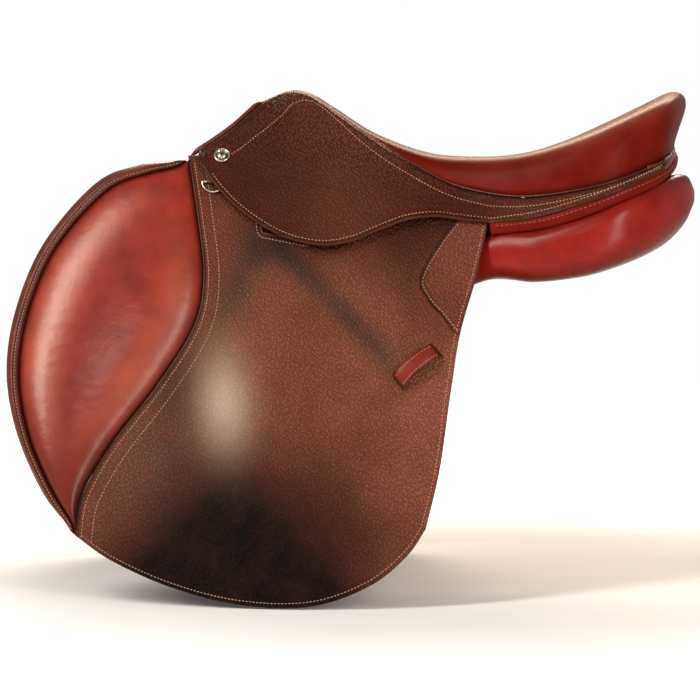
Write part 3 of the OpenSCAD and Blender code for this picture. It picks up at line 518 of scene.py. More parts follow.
def stitches(name, path, outward, body, material, right=False, pitch=3.3, length=2.4, thick=0.46):
    """A row of stitches: beads of that length, one every pitch along a path, lying on the surface.

    Each bead is a squashed ball: 6 points round, 3 rings and 2 tips, turned along the path.
    """
    both = even(np.hstack([path, outward]), pitch)
    spots, out = both[:, :3], both[:, 3:]
    along = along_path(spots)
    out = out - along * (out * along).sum(1, keepdims=True)
    out = out / np.linalg.norm(out, axis=1, keepdims=True)
    across = np.cross(along, out)
    turn, lift = np.meshgrid(np.arange(6) * math.pi / 3, np.array([-0.62, 0, 0.62]), indexing="xy")
    wide = np.where(lift == 0, 1.0, 0.78)
    ball = np.stack([lift * length / 2, wide * np.cos(turn) * thick, wide * np.sin(turn) * thick], -1)
    ball = np.vstack([ball.reshape(-1, 3), [[-length / 2, 0, 0], [length / 2, 0, 0]]])
    points = (spots[:, None] + ball[None, :, :1] * along[:, None] + ball[None, :, 1:2] * across[:, None]
              + ball[None, :, 2:] * out[:, None]).reshape(-1, 3)
    k = np.arange(6)
    near = (k + 1) % 6
    one = np.vstack([np.stack([r + 6 + k, r + 6 + near, r + near, r + k], 1) for r in (0, 6)])
    tips = np.vstack([np.stack([k, near, np.full(6, 18)], 1), np.stack([12 + near, 12 + k, np.full(6, 19)], 1)])
    shift = (np.arange(len(spots)) * len(ball))[:, None, None]
    quads, thirds = (one[None] + shift).reshape(-1, 4), (tips[None] + shift).reshape(-1, 3)
    if right:
        points, quads, thirds = points * FLIP, quads[:, ::-1], thirds[:, ::-1]
    mesh = bpy.data.meshes.new(name)
    mesh.from_pydata((points / MM).tolist(), [], quads.tolist() + thirds.tolist())
    mesh.shade_smooth()
    return put(name, mesh, body, [material])


STITCH_LIFT = 0.1


def on_line(name, path, lift, body, right):
    """Stitches along a path of (x, d) on the side, lift outwards from the flap's inner face."""
    x, d = path[:, 0], path[:, 1]
    return stitches(name, side(x, d, lift), side_out(d), body, THREAD, right)


print("stitches lie", STITCH_LIFT, "mm above the leather")


# %% Rules for cutting leather
def hill(x, centre, width):
    """A smooth hill: 1 at the centre, falling to nothing over about two widths."""
    return np.exp(-(((x - centre) / width) ** 2))


def ramp(x, start, run):
    """A straight ramp from 0 at start to 1 one run later."""
    return np.clip((x - start) / run, 0, 1)


def inset(path, far):
    """A path in the flat (x, d) plane moved sideways: to its left, looking along it with d downwards."""
    e = along_path(path)
    return path + far * np.stack([e[:, 1], -e[:, 0]], 1)


def softened(steps, long, r):
    """Steps from 0 to 1 with a quarter-round of radius r at both ends of a length, and its drop there."""
    a = np.linspace(0, math.pi / 2, 5)[:-1]
    near, fall = r / long * (1 - np.cos(a)), r * (1 - np.sin(a))
    mid = np.linspace(r / long, 1 - r / long, steps)
    return np.r_[near, mid, 1 - near[::-1]], np.r_[fall, np.zeros(steps), fall[::-1]]


def grown(count):
    """Steps from 0 to 1 that lie closer at both ends: half a cosine wave."""
    return (1 - np.cos(np.linspace(0, math.pi, count))) / 2


print("a 60 mm edge with a 1 mm rim has", len(softened(10, 60, 1.0)[0]), "steps")


# %% Rules for laying leather
def ruled(a, b, u):
    """A grid of points whose rows run straight from line a to line b by the steps u."""
    return a[:, None] + (b - a)[:, None] * u[None, :, None]


def cut_sheet(front, rear, down, across, top, foot):
    """A sheet cut between a front and a rear line, laid on the side from foot to top, its rim rounded.

    down and across give the steps, length and rim radius each way; front and rear turn steps into (x, d).
    """
    v, v_drop = softened(*down)
    u, u_drop = softened(*across)
    q = ruled(front(v), rear(v), u)
    drop = np.maximum(u_drop[None, :], v_drop[:, None])
    return q, side(q[..., 0], q[..., 1], top - drop), side(q[..., 0], q[..., 1], foot)


def round_path(path, wide, tall, points=10):
    """Rings of an oval tube along a path: wide outwards, tall upwards, seen along the path."""
    e = along_path(path)
    out = np.stack([e[:, 1], -e[:, 0], 0 * e[:, 0]], 1)
    out = out / np.maximum(np.linalg.norm(out, axis=1, keepdims=True), 1e-6)
    up = np.cross(out, e)
    a = np.arange(points) * 2 * math.pi / points
    return (path[:, None] + wide * np.cos(a)[None, :, None] * out[:, None]
            + tall * np.sin(a)[None, :, None] * up[:, None])


def rounded(path, reach):
    """A path whose corners are rounded: each point becomes the mean of its neighbours within reach."""
    wide = np.pad(path, ((reach, reach), (0, 0)), mode="edge")
    total = np.cumsum(np.vstack([np.zeros((1, path.shape[1])), wide]), axis=0)
    return (total[2 * reach + 1:] - total[:-2 * reach - 1]) / (2 * reach + 1)


print("a rolled edge has", round_path(np.eye(3), 1, 1).shape[1], "points round it")

# %% [markdown]
# ## Flaps
#
# The flap is the large sheet under the rider's leg, cut from one hide with a slot for the stirrup leather.
# A plane could be cut to the outline, but its cells would not follow the edges. A patch blended from its
# four edge lines does: the pad line in front, the bottom, the rear edge and the fold above. Years of use
# show on it: the stirrup leather has darkened its path from the slot, and the rider's calf has polished a
# spot and darkened the lower middle. Light is painted on it as well: a pale sheen on the polished spot,
# a falloff of light that darkens the lower middle further, and shade below the skirt and over the upper rear.

# %% Flap outline
PAD_LINE = [[-252, -2], [-242, 55], [-235, 110], [-243, 158], [-276, 219], [-320, 286], [-345, 337], [-351, 375]]
FLAP_BOTTOM = [[-351, 375], [-316, 390], [-260, 401], [-196, 402], [-130, 388], [-77, 358], [-43, 324],
               [-25.5, 296]]
FLAP_REAR = [[37, 1], [25, 53], [8.5, 111], [-1, 167], [-12, 240], [-25.5, 296]]
SKIRT_LOWER = [[-238, 3], [-222, 23], [-196, 42], [-160, 56], [-124, 57], [-94, 47], [-66, 30], [-40, 15], [-12, 6]]
FLAP_TOP = 4  # the upper edge starts this far below the fold line


def flap_spot(u, v):
    """The patch between four edge curves: two ruled blends less the bilinear one through the corners.

    Its upper edge falls by 3 mm to the rear, and rises to the pad line's end in front.
    """
    a, b = np.array(PAD_LINE[0]), np.array(FLAP_REAR[0])
    c, e = np.array(FLAP_BOTTOM[0]), np.array(FLAP_BOTTOM[-1])
    fall = ramp(u, 0.045, 0.07)
    raised = (FLAP_TOP - a[1]) * (1 - fall * fall * (3 - 2 * fall)) + 2 * hill(u, 0.04, 0.02)
    top = np.stack([a[0] + u * (b[0] - a[0]), FLAP_TOP - 3 * u - raised], -1)
    low, front, rear = curve(FLAP_BOTTOM, u), curve(PAD_LINE, v), curve(FLAP_REAR, v)
    u, v = u[..., None], v[..., None]
    corners = (1 - u) * (1 - v) * a + u * (1 - v) * b + (1 - u) * v * c + u * v * e
    return (1 - v) * top + v * low + (1 - u) * front + u * rear - corners


print("flap's lower rear corner:", flap_spot(np.ones(1), np.ones(1))[0].round(1).tolist())


# %% Flap wear
def near_line(x, d, points):
    """Distance of every (x, d) from a line given by control points."""
    line = even(curve(points, U), 4.0)
    gap = (x[..., None] - line[:, 0]) ** 2 + (d[..., None] - line[:, 1]) ** 2
    return np.sqrt(gap.min(-1))


def flap_marks(x, d):
    """Warm, dark, greyed and rubbed places on the flap: sums of smooth hills and of bands along lines."""
    # Dirt from the rider's calf darkens the lower middle, and a painted falloff of light darkens it further towards
    # the bottom.
    step = np.clip((d - 205 - 1.1 * np.maximum(-212 - x, 0)) / 122, 0, 1)
    calf = hill(np.maximum(x, -215), -215, 160) * step * step * (3 - 2 * step)
    calf = calf + 0.45 * hill(x, -125, 65) * ramp(d, 325, 60)
    rear_band = np.abs((d - 62) - (x + 168) * 0.80)
    rear_print = hill(rear_band, 0, 17) * ramp(x, -178, 20) * np.clip((-40 - x) / 25, 0, 1)
    along, off = (d - 62) * 0.917 - (x + 180) * 0.4, (x + 180) * 0.917 + (d - 62) * 0.4
    fore_print = hill(off, 0, 15) * np.clip(along / 15, 0, 1) * np.clip((125 - along) / 60, 0, 1)
    slot = hill(x, -172, 24) * hill(d, 62, 26)
    front = hill(x, -285, 55) * hill(d, 300, 75)
    knee = hill(x, -258, 28) * hill(d, 225, 65)
    skirt_far = near_line(x, d, SKIRT_LOWER)
    # Dirt and a painted shadow below the skirt's lower edge, with a deeper patch under its middle.
    shade = 0.3 * hill(skirt_far, 0, 26) + 0.5 * hill(skirt_far, 0, 10) * hill(x, -122, 22)
    # Painted shade over the upper rear of the flap, under the skirt.
    upper_rear_shade = 0.5 * np.clip((150 - d) / 100, 0, 1) * ramp(x, -120, 80)
    edge = hill(near_line(x, d, PAD_LINE), 0, 3)
    ash = 0.8 * rear_print + 0.75 * fore_print + 0.7 * slot + 0.6 * front + 0.45 * knee
    smudge = (1.05 * calf + 0.3 * rear_print + 0.25 * fore_print + 0.3 * slot + 0.5 * edge + shade + upper_rear_shade
              + 0.36 * knee)
    warm = (0.68 + 0.3 * ramp(x, -130, 130)) * np.clip(1.1 - 0.5 * smudge, 0, 1)
    # The polished spot: smoother and coated, with a pale painted sheen in its colour.
    return {"warm": warm, "smudge": smudge, "rub": hill(x, -213, 24) * hill(d, 222, 46), "ash": ash}


wear = flap_marks(np.full(1, -213.0), np.full(1, 222.0))
print("wear at the polished spot:", {mark: round(float(w[0]), 2) for mark, w in wear.items()})

# %% Flap sheet
FLAP_L, FLAP_H = 289, 350
WINDOW_U = ((-184 + 252) / FLAP_L, (-141 + 252) / FLAP_L)
WINDOW_V = (12 / FLAP_H, 47 / FLAP_H)
u, u_drop = softened(110, 300, 1.8)
v, v_drop = softened(150, 370, 1.8)
window = []
for line, ends in ((v, WINDOW_V), (u, WINDOW_U)):
    for at in ends:
        k = int(np.argmin(np.abs(line - at)))
        line[k] = at
        window.append(k)
vv, uu = np.meshgrid(v, u, indexing="ij")
q = flap_spot(uu, vv)
drop = np.maximum(u_drop[None, :], v_drop[:, None])
flap_outer = side(q[..., 0], q[..., 1], FLAP_T - drop)
flap_inner = side(q[..., 0], q[..., 1], 0)
flap_where = flap_marks(q[..., 0], q[..., 1])
print("flap cells:", flap_outer.shape[0] * flap_outer.shape[1])

# %% Flap edges and seams
slot_u, slot_v = WINDOW_U, (0.09, WINDOW_V[1])
slot = flap_spot(np.array(slot_u)[[0, 0, 1, 1]], np.array(slot_v)[[0, 1, 1, 0]])
slot = rounded(even(slot, 0.8), 3)
lip_rings = round_path(side(slot[:, 0], slot[:, 1], FLAP_T - 0.4), 1.0, 1.0, 8)
front = curve(PAD_LINE, np.linspace(0.02, 0.995, 400))
roll = inset(front, 1.5)
roll_rings = round_path(side(roll[:, 0], roll[:, 1], FLAP_T - 0.5), 1.3, 1.5)
rim = even(np.vstack([curve(FLAP_BOTTOM, U), curve(FLAP_REAR, U)[::-1][1:]]), 2.0)
flap_rows = {"flap_front_stitch_outer_": inset(front, 5.5), "flap_front_stitch_inner_": inset(front, 15.5),
             "flap_rim_stitch_": inset(rim, 4.2)[3:-8]}
for hand, right in SIDES:
    body = f"flap_{hand}_body"
    obj = shell("flap_leather_" + hand, flap_outer, flap_inner, body, GRAINED, right,
                hole=window, marks=flap_where, edge=EDGE)
    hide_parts("flap_" + hand)
    tube("stirrup_slot_lip_" + hand, lip_rings, body, BINDING, right)
    on_line("stirrup_slot_stitch_" + hand, inset(slot, -4.5)[12:-12], FLAP_T + STITCH_LIFT, body, right)
    tube("flap_front_edge_" + hand, roll_rings, body, EDGE, right)
    for name, row in flap_rows.items():
        on_line(name + hand, row, FLAP_T + STITCH_LIFT, body, right)
print("rows of stitches on a flap:", len(flap_rows) + 1)

# %% [markdown]
# ## Knee pads
#
# Each pad is a cushion of glossy calf in front of the flap, sewn into a rolled binding ahead and under the
# flap's front edge behind. Cloth simulation could blow one up; but this pad is stuffed hard and its form
# is plain in the photograph, so a crown rises from its seams by a rounded profile. Fine folds lie where
# the rider's knee has pressed it. The binding is a half round with its seam pulled in.

# %% Knee pad
PAD_FRONT = [[-262, 5], [-300, 18], [-341, 44], [-389, 111], [-414, 179], [-421, 239], [-410, 293],
             [-384, 342], [-357, 369]]
PAD_START, PAD_EDGE, PAD_CROWN, BINDING_W = 0.012, 2, 19, 12.5


def pad_inset(v, far):
    """The pad's front line moved towards the pad line by far, at most four fifths of the way."""
    a, b = curve(PAD_FRONT, v), curve(PAD_LINE, v)
    gap = np.linalg.norm(b - a, axis=-1, keepdims=True)
    return a + (b - a) / gap * np.minimum(far, gap * 0.8)


def pad_folds(x, d, rim):
    """Folds in the pad's leather, as a height in mm: slanted waves low in front and short pleats off the seams.

    rim is the distance from the nearer seam. Waves run across a slanted direction, bent by slower waves.
    """
    where = hill(x, -385, 45) * hill(d, 230, 90) + 0.35 * hill(x, -330, 40) * hill(d, 330, 60)
    s, r = x * 0.36 + d * 0.93, x * 0.93 - d * 0.36
    wave = np.sin(s / 2.6 + 1.7 * np.sin(r / 19)) + 0.6 * np.sin(s / 1.5 + 2.2 * np.sin(r / 13 + 1.3))
    pleat = np.sin(d / 1.7 + 1.4 * np.sin(d / 17) + rim / 9) * (0.55 + 0.45 * np.sin(d / 37 + x / 60))
    return 0.05 * wave * where + 0.06 * pleat * hill(rim, 8, 7)


s = np.linspace(0, 1, 270)
v = PAD_START + (1 - PAD_START) * s
u = grown(76)
ss, uu = np.meshgrid(s, u, indexing="ij")
a, b = pad_inset(v, BINDING_W), curve(PAD_LINE, v) - [0.15, 0]
q = ruled(a, b, u)
x, d = q[..., 0], q[..., 1]
rise = (1 - np.abs(2 * uu - 1) ** 2.5) ** 0.55 * np.sin(math.pi * ss) ** 0.5
rim = np.minimum(uu, 1 - uu) * np.linalg.norm(b - a, axis=-1)[:, None]
pad_outer = side(x, d, PAD_EDGE + PAD_CROWN * rise + pad_folds(x, d, rim) * rise)
pad_inner = side(x, d, 0)
# Painted highlights: two pale bands along the pad, a little in from its seams, the front one brighter. The pad is
# darker at its seams and near its lower end.
pad_where = {"warm": np.where(uu < 0.5, 0.45, 0.3) * hill(rim, 24, 16) * hill(ss, 0.5, 0.25),
             "smudge": 0.8 * hill(rim, 0, 4) + 0.5 * hill(ss, 0.85, 0.17),
             "rub": hill(uu, 0.5, 0.45) * hill(ss, 0.5, 0.35), "ash": 0.3 * hill(uu, 0.5, 0.2) * hill(ss, 0.5, 0.3)}
print("knee pad cells:", pad_outer.shape[0] * pad_outer.shape[1])

# %% Pad binding
ROLL_H, SEAM_AT = 7, 0.62
u = np.linspace(0, 1, 20)
a, b = curve(PAD_FRONT, v), pad_inset(v, BINDING_W - 0.05)
q = ruled(a, b, u)
uu = np.broadcast_to(u, q.shape[:2])
seam = 1.6 * hill(uu, SEAM_AT, 0.10)
roll_outer = side(q[..., 0], q[..., 1], PAD_EDGE + ROLL_H * np.sin(math.pi * uu) ** 0.8 - seam)
roll_inner = side(q[..., 0], q[..., 1], 0)
roll_where = {"smudge": 0.6 * hill(uu, 0, 0.12) + 0.7 * hill(uu, SEAM_AT, 0.08) + 0.8 * hill(uu, 1, 0.08)}
line = a + (b - a) * SEAM_AT
lift = PAD_EDGE + ROLL_H * math.sin(math.pi * SEAM_AT) ** 0.8 - 1.4
for hand, right in SIDES:
    body = f"flap_{hand}_body"
    obj = shell("knee_pad_leather_" + hand, pad_outer, pad_inner, body, CALF, right,
                marks=pad_where)
    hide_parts("knee_pad_" + hand)
    obj = shell("knee_binding_leather_" + hand, roll_outer, roll_inner, body, BINDING, right,
                marks=roll_where)
    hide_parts("knee_binding_" + hand)
    on_line("knee_binding_stitch_" + hand, line[4:-4], lift, body, right)
print("binding stands", round(float(lift), 1), "mm high at its seam")

# %% [markdown]
# ## Rear patch and keeper
#
# The patch is a second layer of hide over the flap's upper rear corner, sewn round its rim. A sheet between
# two lines gives it. The keeper is a short strap that holds the stirrup leather's end: it leaves one slit,
# arches over, and goes back into another. A bevelled curve could be bent so, but a small surface with an
# arch and a lean as formulas keeps its width and its sewn rows in one place.

# %% Patch
PATCH_FRONT = [[8, 3], [-12, 33], [-29, 68], [-22, 86], [-9, 98], [4, 112]]
PATCH_T, PATCH_REAR_SHARE, PATCH_FOOT = 2.5, 0.4, FLAP_T + 0.3


def patch_rear(v):
    """The upper part of the flap's rear edge, 1 mm in."""
    return curve(FLAP_REAR, PATCH_REAR_SHARE * v) - [1, 0]


q, patch_outer, patch_inner = cut_sheet(lambda v: curve(PATCH_FRONT, v), patch_rear, (60, 115, 1.0), (24, 32, 1.0),
                                        PATCH_FOOT + PATCH_T, PATCH_FOOT)
uu = np.broadcast_to(softened(24, 32, 1.0)[0], q.shape[:2])
# The front edge is darker: dark dye and a painted shadow.
patch_where = {"warm": 0.6 + 0 * uu, "smudge": 0.75 * hill(uu, 0, 0.09)}
patch_rim = even(np.vstack([curve(PATCH_FRONT, U), patch_rear(U)[::-1][1:]]), 1.5)
patch_row = inset(patch_rim, 3.0)[4:-4]
print("patch rim:", len(patch_rim), "points")

# %% Keeper
KEEPER_A, KEEPER_B = np.array([-51, 168.0]), np.array([-15, 130.0])
KEEPER_W, KEEPER_T, KEEPER_ARCH, KEEPER_LEAN = 13, 2.4, 9.2, 4.5
keeper_way = (KEEPER_B - KEEPER_A) / np.linalg.norm(KEEPER_B - KEEPER_A)


def keeper_spot(u, v, t):
    """A spot on the keeper: u across its width, v along it, t above it. A root of a sine makes the arch."""
    q = KEEPER_A + (KEEPER_B - KEEPER_A) * v[..., None]
    arch = np.sin(math.pi * v) ** 0.5
    q = q + np.array([keeper_way[1], -keeper_way[0]]) * ((u - 0.5) * KEEPER_W + KEEPER_LEAN * arch - 2)[..., None]
    return side(q[..., 0], q[..., 1], PATCH_FOOT + KEEPER_ARCH * arch + t)


u, u_drop = softened(16, KEEPER_W, 0.8)
vv, uu = np.meshgrid(grown(40), u, indexing="ij")
keeper_outer = keeper_spot(uu, vv, KEEPER_T - u_drop[None, :] + 0.5 * np.sin(math.pi * uu))
keeper_inner = keeper_spot(uu, vv, 0 * uu)
# Darker along both edges, and painted shade at both ends, where the keeper dives into its slits.
keeper_where = {"smudge": 0.25 + 0.5 * hill(np.minimum(uu, 1 - uu), 0, 0.07)
                + 0.7 * hill(np.minimum(vv, 1 - vv), 0, 0.06)}
across = np.linspace(-0.06, 1.06, 14)
slits = {end: keeper_spot(across, at + 0 * across, -0.5 + 0 * across) for end, at in (("low", 0.0), ("high", 1.0))}
s = np.linspace(0.07, 0.93, 120)
keeper_out = side_out(KEEPER_A[1] + 0 * s)
for hand, right in SIDES:
    body = f"flap_{hand}_body"
    obj = shell("rear_patch_leather_" + hand, patch_outer, patch_inner, body, GRAINED, right,
                marks=patch_where, edge=EDGE)
    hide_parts("flap_patch_" + hand)
    on_line("rear_patch_stitch_" + hand, patch_row, PATCH_FOOT + PATCH_T + STITCH_LIFT, body, right)
    obj = shell("keeper_loop_" + hand, keeper_outer, keeper_inner, body, CALF, right,
                marks=keeper_where, edge=EDGE)
    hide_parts("keeper_" + hand)
    for end, path in slits.items():
        tube(f"keeper_slit_{end}_{hand}", round_path(path, 0.9, 0.9, 8), body, EDGE, right)
    for row, at in (("a", 0.16), ("b", 0.84)):
        stitches(f"keeper_stitch_{row}_{hand}", keeper_spot(at + 0 * s, s, 2.75 + 0 * s), keeper_out, body, THREAD,
                 right, pitch=3.0, length=2.0, thick=0.36)
print("keeper is", round(float(np.linalg.norm(KEEPER_B - KEEPER_A))), "mm from slit to slit")

# %% [markdown]
# ## Skirts
#
# A skirt covers the stirrup bar. Its upper part is sewn along the seat and bends from that seam to the fold
# line; behind the flap it narrows to the strip that runs on to the cantle. Its lower part hangs loose, lifts
# on a joint and ends in a dark rolled edge. One sculpted sheet would look as well but could not lift, so the
# two parts are separate surfaces that meet at the fold line: a bend through three points above, the side
# itself below.

# %% Skirt surface
SKIRT_TOP = [[-240, 64, 123], [-228, 58, 131], [-205, 49, 148], [-180, 33, 171], [-158, 15, 182], [-136, 25, 179],
             [-112, 41, 163], [-75, 64, 136], [-28, 88, 106], [12, 108, 87], [68, 137, 78], [129, 157, 86],
             [170, 152, 99], [203, 130, 111]]
STRIP_LOWER = [[36, 125, 55], [78, 140, 60], [129, 156, 75], [165, 153, 89], [203, 130, 106]]
FOLD_END = 36


def skirt_spot(u, v, t):
    """A curved section from the seam at SKIRT_TOP to its foot, leaving the foot along the flap.

    Each section is a quadratic bend through seam, knee and foot; t lies outwards.
    """
    top = curve(SKIRT_TOP, u)
    x = top[..., 0]
    strip = curve_at_x(STRIP_LOWER, np.maximum(x, FOLD_END))
    foot_w = np.where(x < FOLD_END, fold(x, 1) + SKIRT_IN, strip[..., 1])
    foot_z = np.where(x < FOLD_END, fold(x, 2), strip[..., 2])
    slope = SLOPE * np.clip((60 - x) / 90, -0.7, 1)
    knee_w = foot_w - slope * 0.5 * (top[..., 2] - foot_z)
    w = (1 - v) ** 2 * top[..., 1] + 2 * v * (1 - v) * knee_w + v**2 * foot_w
    return np.stack([x, -(w + t), top[..., 2] + (foot_z - top[..., 2]) * v], -1)


def skirt_out(u, v):
    """The way outwards from the skirt: square to its slopes along u and v."""
    e = 1e-3
    along = skirt_spot(np.clip(u + e, 0, 1), v, 0) - skirt_spot(np.clip(u - e, 0, 1), v, 0)
    down = skirt_spot(u, v + e, 0) - skirt_spot(u, v - e, 0)
    return np.cross(down, along)


def skirt_depth(u):
    """Length of the skirt's section at u, seam to foot, as the sum of short steps."""
    ss, uu = np.meshgrid(np.linspace(0, 1, 30), u, indexing="ij")
    return np.linalg.norm(np.diff(skirt_spot(uu, ss, 0 * uu), axis=0), axis=-1).sum(0)


print("skirt depth at its middle:", round(float(skirt_depth(np.full(1, 0.5))[0])), "mm")

# %% Skirt sheets
u = np.linspace(0, 1, 260)
v, v_drop = softened(44, 60, 1.2)
v_drop[len(v) // 2:] = 0
vv, uu = np.meshgrid(v, u, indexing="ij")
foot_round = 1.4 * ramp(curve(SKIRT_TOP, u)[:, 0], 20, 20) * ramp(vv, 0.93, 0.07) ** 2
upper_outer = skirt_spot(uu, vv, SKIRT_T - v_drop[:, None] - foot_round)
upper_inner = skirt_spot(uu, vv, 0 * uu)
x = upper_outer[..., 0]
skirt_where = {"warm": 0.05 + 0.2 * hill(x, -95, 60) + 0.3 * ramp(x, 20, 60),
               "smudge": 0.12 + 0.7 * hill(vv * skirt_depth(u)[None, :], 0, 2.5)}
SKIRT_HEM = SKIRT_LOWER + [[12, 4.2], [34, 1.5]]
FOLD_ROOM = 0.05
v, v_drop = softened(40, 50, 1.5)
v_drop[:len(v) // 2] = 0
low_line = curve(SKIRT_HEM, np.linspace(0, 1, 170))
x = low_line[None, :, 0] + 0 * v[:, None]
d = FOLD_ROOM + np.maximum(low_line[None, :, 1] - FOLD_ROOM, 2) * v[:, None]
under_outer = side(x, d, SKIRT_OUT - v_drop[:, None])
under_inner = side(x, d, SKIRT_IN)
under_where = {"warm": 0.05 + 0.2 * hill(x, -95, 60), "smudge": 0.12 + 0.5 * hill(low_line[None, :, 1] - d, 0, 4)}
print("skirt cells:", upper_outer.shape[0] * upper_outer.shape[1])

# %% Skirt edges
SEAT_EDGE = [[-182, 33, 169], [-158, 14, 181], [-136, 24, 178], [-112, 40, 163], [-75, 63, 137], [-28, 87, 107],
             [12, 107, 88], [68, 136, 79], [129, 156, 87], [175, 147, 101], [209, 108, 117], [225, 0, 128]]
hem = curve(SKIRT_HEM, np.linspace(0.01, 1, 340))
hem_path = side(hem[:, 0], hem[:, 1] - 0.6, SKIRT_OUT - 0.9)
top_x = curve(SKIRT_TOP, U)[:, 0]
foot_u = np.interp(np.linspace(30, 202, 220), top_x, U)
foot_path = skirt_spot(foot_u, 1 + 0 * foot_u, SKIRT_T - 0.9) - [0, 0, 0.3]
pommel_u = np.interp(SEAT_EDGE[0][0], top_x, U)
down, front_u = np.linspace(1, 0.06, 12), np.linspace(0, pommel_u, 60)
front_path = np.vstack([skirt_spot(0 * down, down, SKIRT_T - 0.8),
                        skirt_spot(front_u, 0.02 + 0 * front_u, SKIRT_T - 0.6)])
front_path = rounded(even(front_path, 1.0), 2)
hem_rings, foot_rings = round_path(hem_path, 1.2, 1.4), round_path(foot_path, 1.2, 1.4)
front_rings = round_path(front_path, 1.5, 1.5)
print("the skirt's rolled edge has", len(hem_rings), "rings")

# %% Skirt seams
SEAM = [[0.142, 0.66], [0.1975, 0.482], [0.249, 0.38], [0.296, 0.27], [0.329, 0.152], [0.357, 0.1], [0.379, 0.07],
        [0.415, 0.05], [0.449, 0.055], [0.483, 0.095], [0.527, 0.175], [0.565, 0.245], [0.6, 0.297], [0.654, 0.385],
        [0.706, 0.42], [0.744, 0.42], [0.781, 0.42], [0.815, 0.43], [0.868, 0.47], [0.93, 0.5], [0.985, 0.5]]
SUNK = 0.42  # stitches near the fold lie deeper, so that a lifted skirt clears them
line = curve(SEAM, np.linspace(0, 1, 700))
seam, seam_out = skirt_spot(line[:, 0], line[:, 1], SKIRT_T + STITCH_LIFT), skirt_out(line[:, 0], line[:, 1])
hem_row = inset(hem, 4.3)
hem_row = hem_row[(np.arange(len(hem)) > 14) & (hem_row[:, 1] > 0.3)]
hem_lift = SKIRT_OUT + STITCH_LIFT - SUNK * np.clip(2.5 - hem_row[:, 1] / 2, 0, 1)
row_x = np.linspace(hem_row[-1, 0] + 3, 199, 300)
row_u = np.interp(row_x, top_x, U)
row_v = 1 - np.interp(row_x, [8, 20, 34, 60], [0.4, 1.4, 3.0, 4.3]) / skirt_depth(row_u)
row_lift = SKIRT_T + STITCH_LIFT - SUNK * np.clip((44 - row_x) / 12, 0, 1)
foot_row, foot_out = skirt_spot(row_u, row_v, row_lift), skirt_out(row_u, row_v)
print("skirt seam ends at", seam[-1].round(0).tolist())

# %% Both skirts
for hand, right in SIDES:
    body = f"skirt_flap_{hand}_body"
    obj = shell("skirt_leather_" + hand, upper_outer, upper_inner, "saddle", GRAINED, right,
                marks=skirt_where, edge=EDGE)
    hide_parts("skirt_" + hand)
    obj = shell("skirt_flap_leather_" + hand, under_outer, under_inner, body, GRAINED, right,
                marks=under_where, edge=EDGE)
    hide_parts("skirt_flap_" + hand)
    tube("skirt_rolled_edge_" + hand, hem_rings, body, EDGE, right)
    tube("strip_rolled_edge_" + hand, foot_rings, "saddle", EDGE, right)
    tube("skirt_front_piping_" + hand, front_rings, "saddle", EDGE, right)
    on_line("skirt_lower_stitch_" + hand, hem_row, hem_lift, body, right)
    stitches("strip_lower_stitch_" + hand, foot_row, foot_out, "saddle", THREAD, right)
    stitches("skirt_seam_stitch_" + hand, seam, seam_out, "saddle", THREAD, right)
print("skirts: upper and lower part on each side")

# %% [markdown]
# ## Seat
#
# The seat is calf stretched over foam and web, rolled at its sides and dished between them. It could be
# sculpted from a box, but the photograph gives its plain lines: the seam, the crest of the roll and the
# middle. Each section climbs from the seam in a quarter ellipse that swells outwards, turns over the roll
# and dips to the middle line. At the cantle the two halves meet, so the last row folds onto itself and is
# welded. Skin and foam are one closed cushion.

# %% Seat lines
SEAT_ROLL = [[-172, 15, 176], [-154, 7, 184], [-136, 11, 180], [-110, 18, 167], [-73, 32, 143], [-26, 52, 124],
             [14, 72, 118], [68, 100, 120], [124, 120, 136], [172, 115, 157], [207, 85, 174], [224, 0, 183]]
SEAT_MID = [[-166, 0, 178.5], [-150, 0, 185], [-130, 0, 180], [-108, 0, 166], [-70, 0, 142], [-24, 0, 125],
            [14, 0, 119], [60, 0, 117], [105, 0, 125], [140, 0, 137], [160, 0, 146], [172, 0, 152]]
SEAT_SWELL = [0, 0, 0, 1, 2, 3, 4, 5, 6, 8, 13, 16]


def to_middle(points, u):
    """A line that ends on the middle plane and crosses it squarely: beyond its end comes its mirror image."""
    last = len(points) - 1
    return curve(np.vstack([points, points[-2] * FLIP]), u * last / (last + 1))


def seat_spot(u, a, t):
    """A point of the seat: u from pommel to cantle, a from seam (0) over the roll (1) to the middle (2), t inwards.

    Up to the roll, cosine and sine of a quarter turn lead from seam to crest, and a hill pushes outwards.
    From there half a cosine wave leads down to the middle.
    """
    e, r, m = to_middle(SEAT_EDGE, u), to_middle(SEAT_ROLL, u), curve(SEAT_MID, u)
    swell = curve(SEAT_SWELL, u)[..., 0]
    out = np.stack([e[..., 0] - m[..., 0], e[..., 1], 0 * u], -1)
    way = out / np.maximum(np.linalg.norm(out, axis=-1, keepdims=True), 1e-3)
    turn, back = np.minimum(a, 1) * math.pi / 2, np.maximum(a - 1, 0)
    bulge = (swell * 2.6 * np.sin(turn) ** 2 * np.cos(turn))[..., None]
    c, s = np.cos(turn)[..., None], np.sin(turn)[..., None]
    p = e + (r - e) * np.concatenate([1 - c, 1 - c, s], -1) + way * bulge + (m - r) * back[..., None]
    p[..., 2] += (m - r)[..., 2] * ((1 - np.cos(math.pi * back)) / 2 - back)
    p = p - t[..., None] * np.concatenate([way[..., :2] * c, s], -1)
    return np.stack([p[..., 0], -np.maximum(p[..., 1], 0), p[..., 2]], -1)


print("the roll ends at the cantle at", to_middle(SEAT_ROLL, np.ones(1))[0].round(0).tolist())


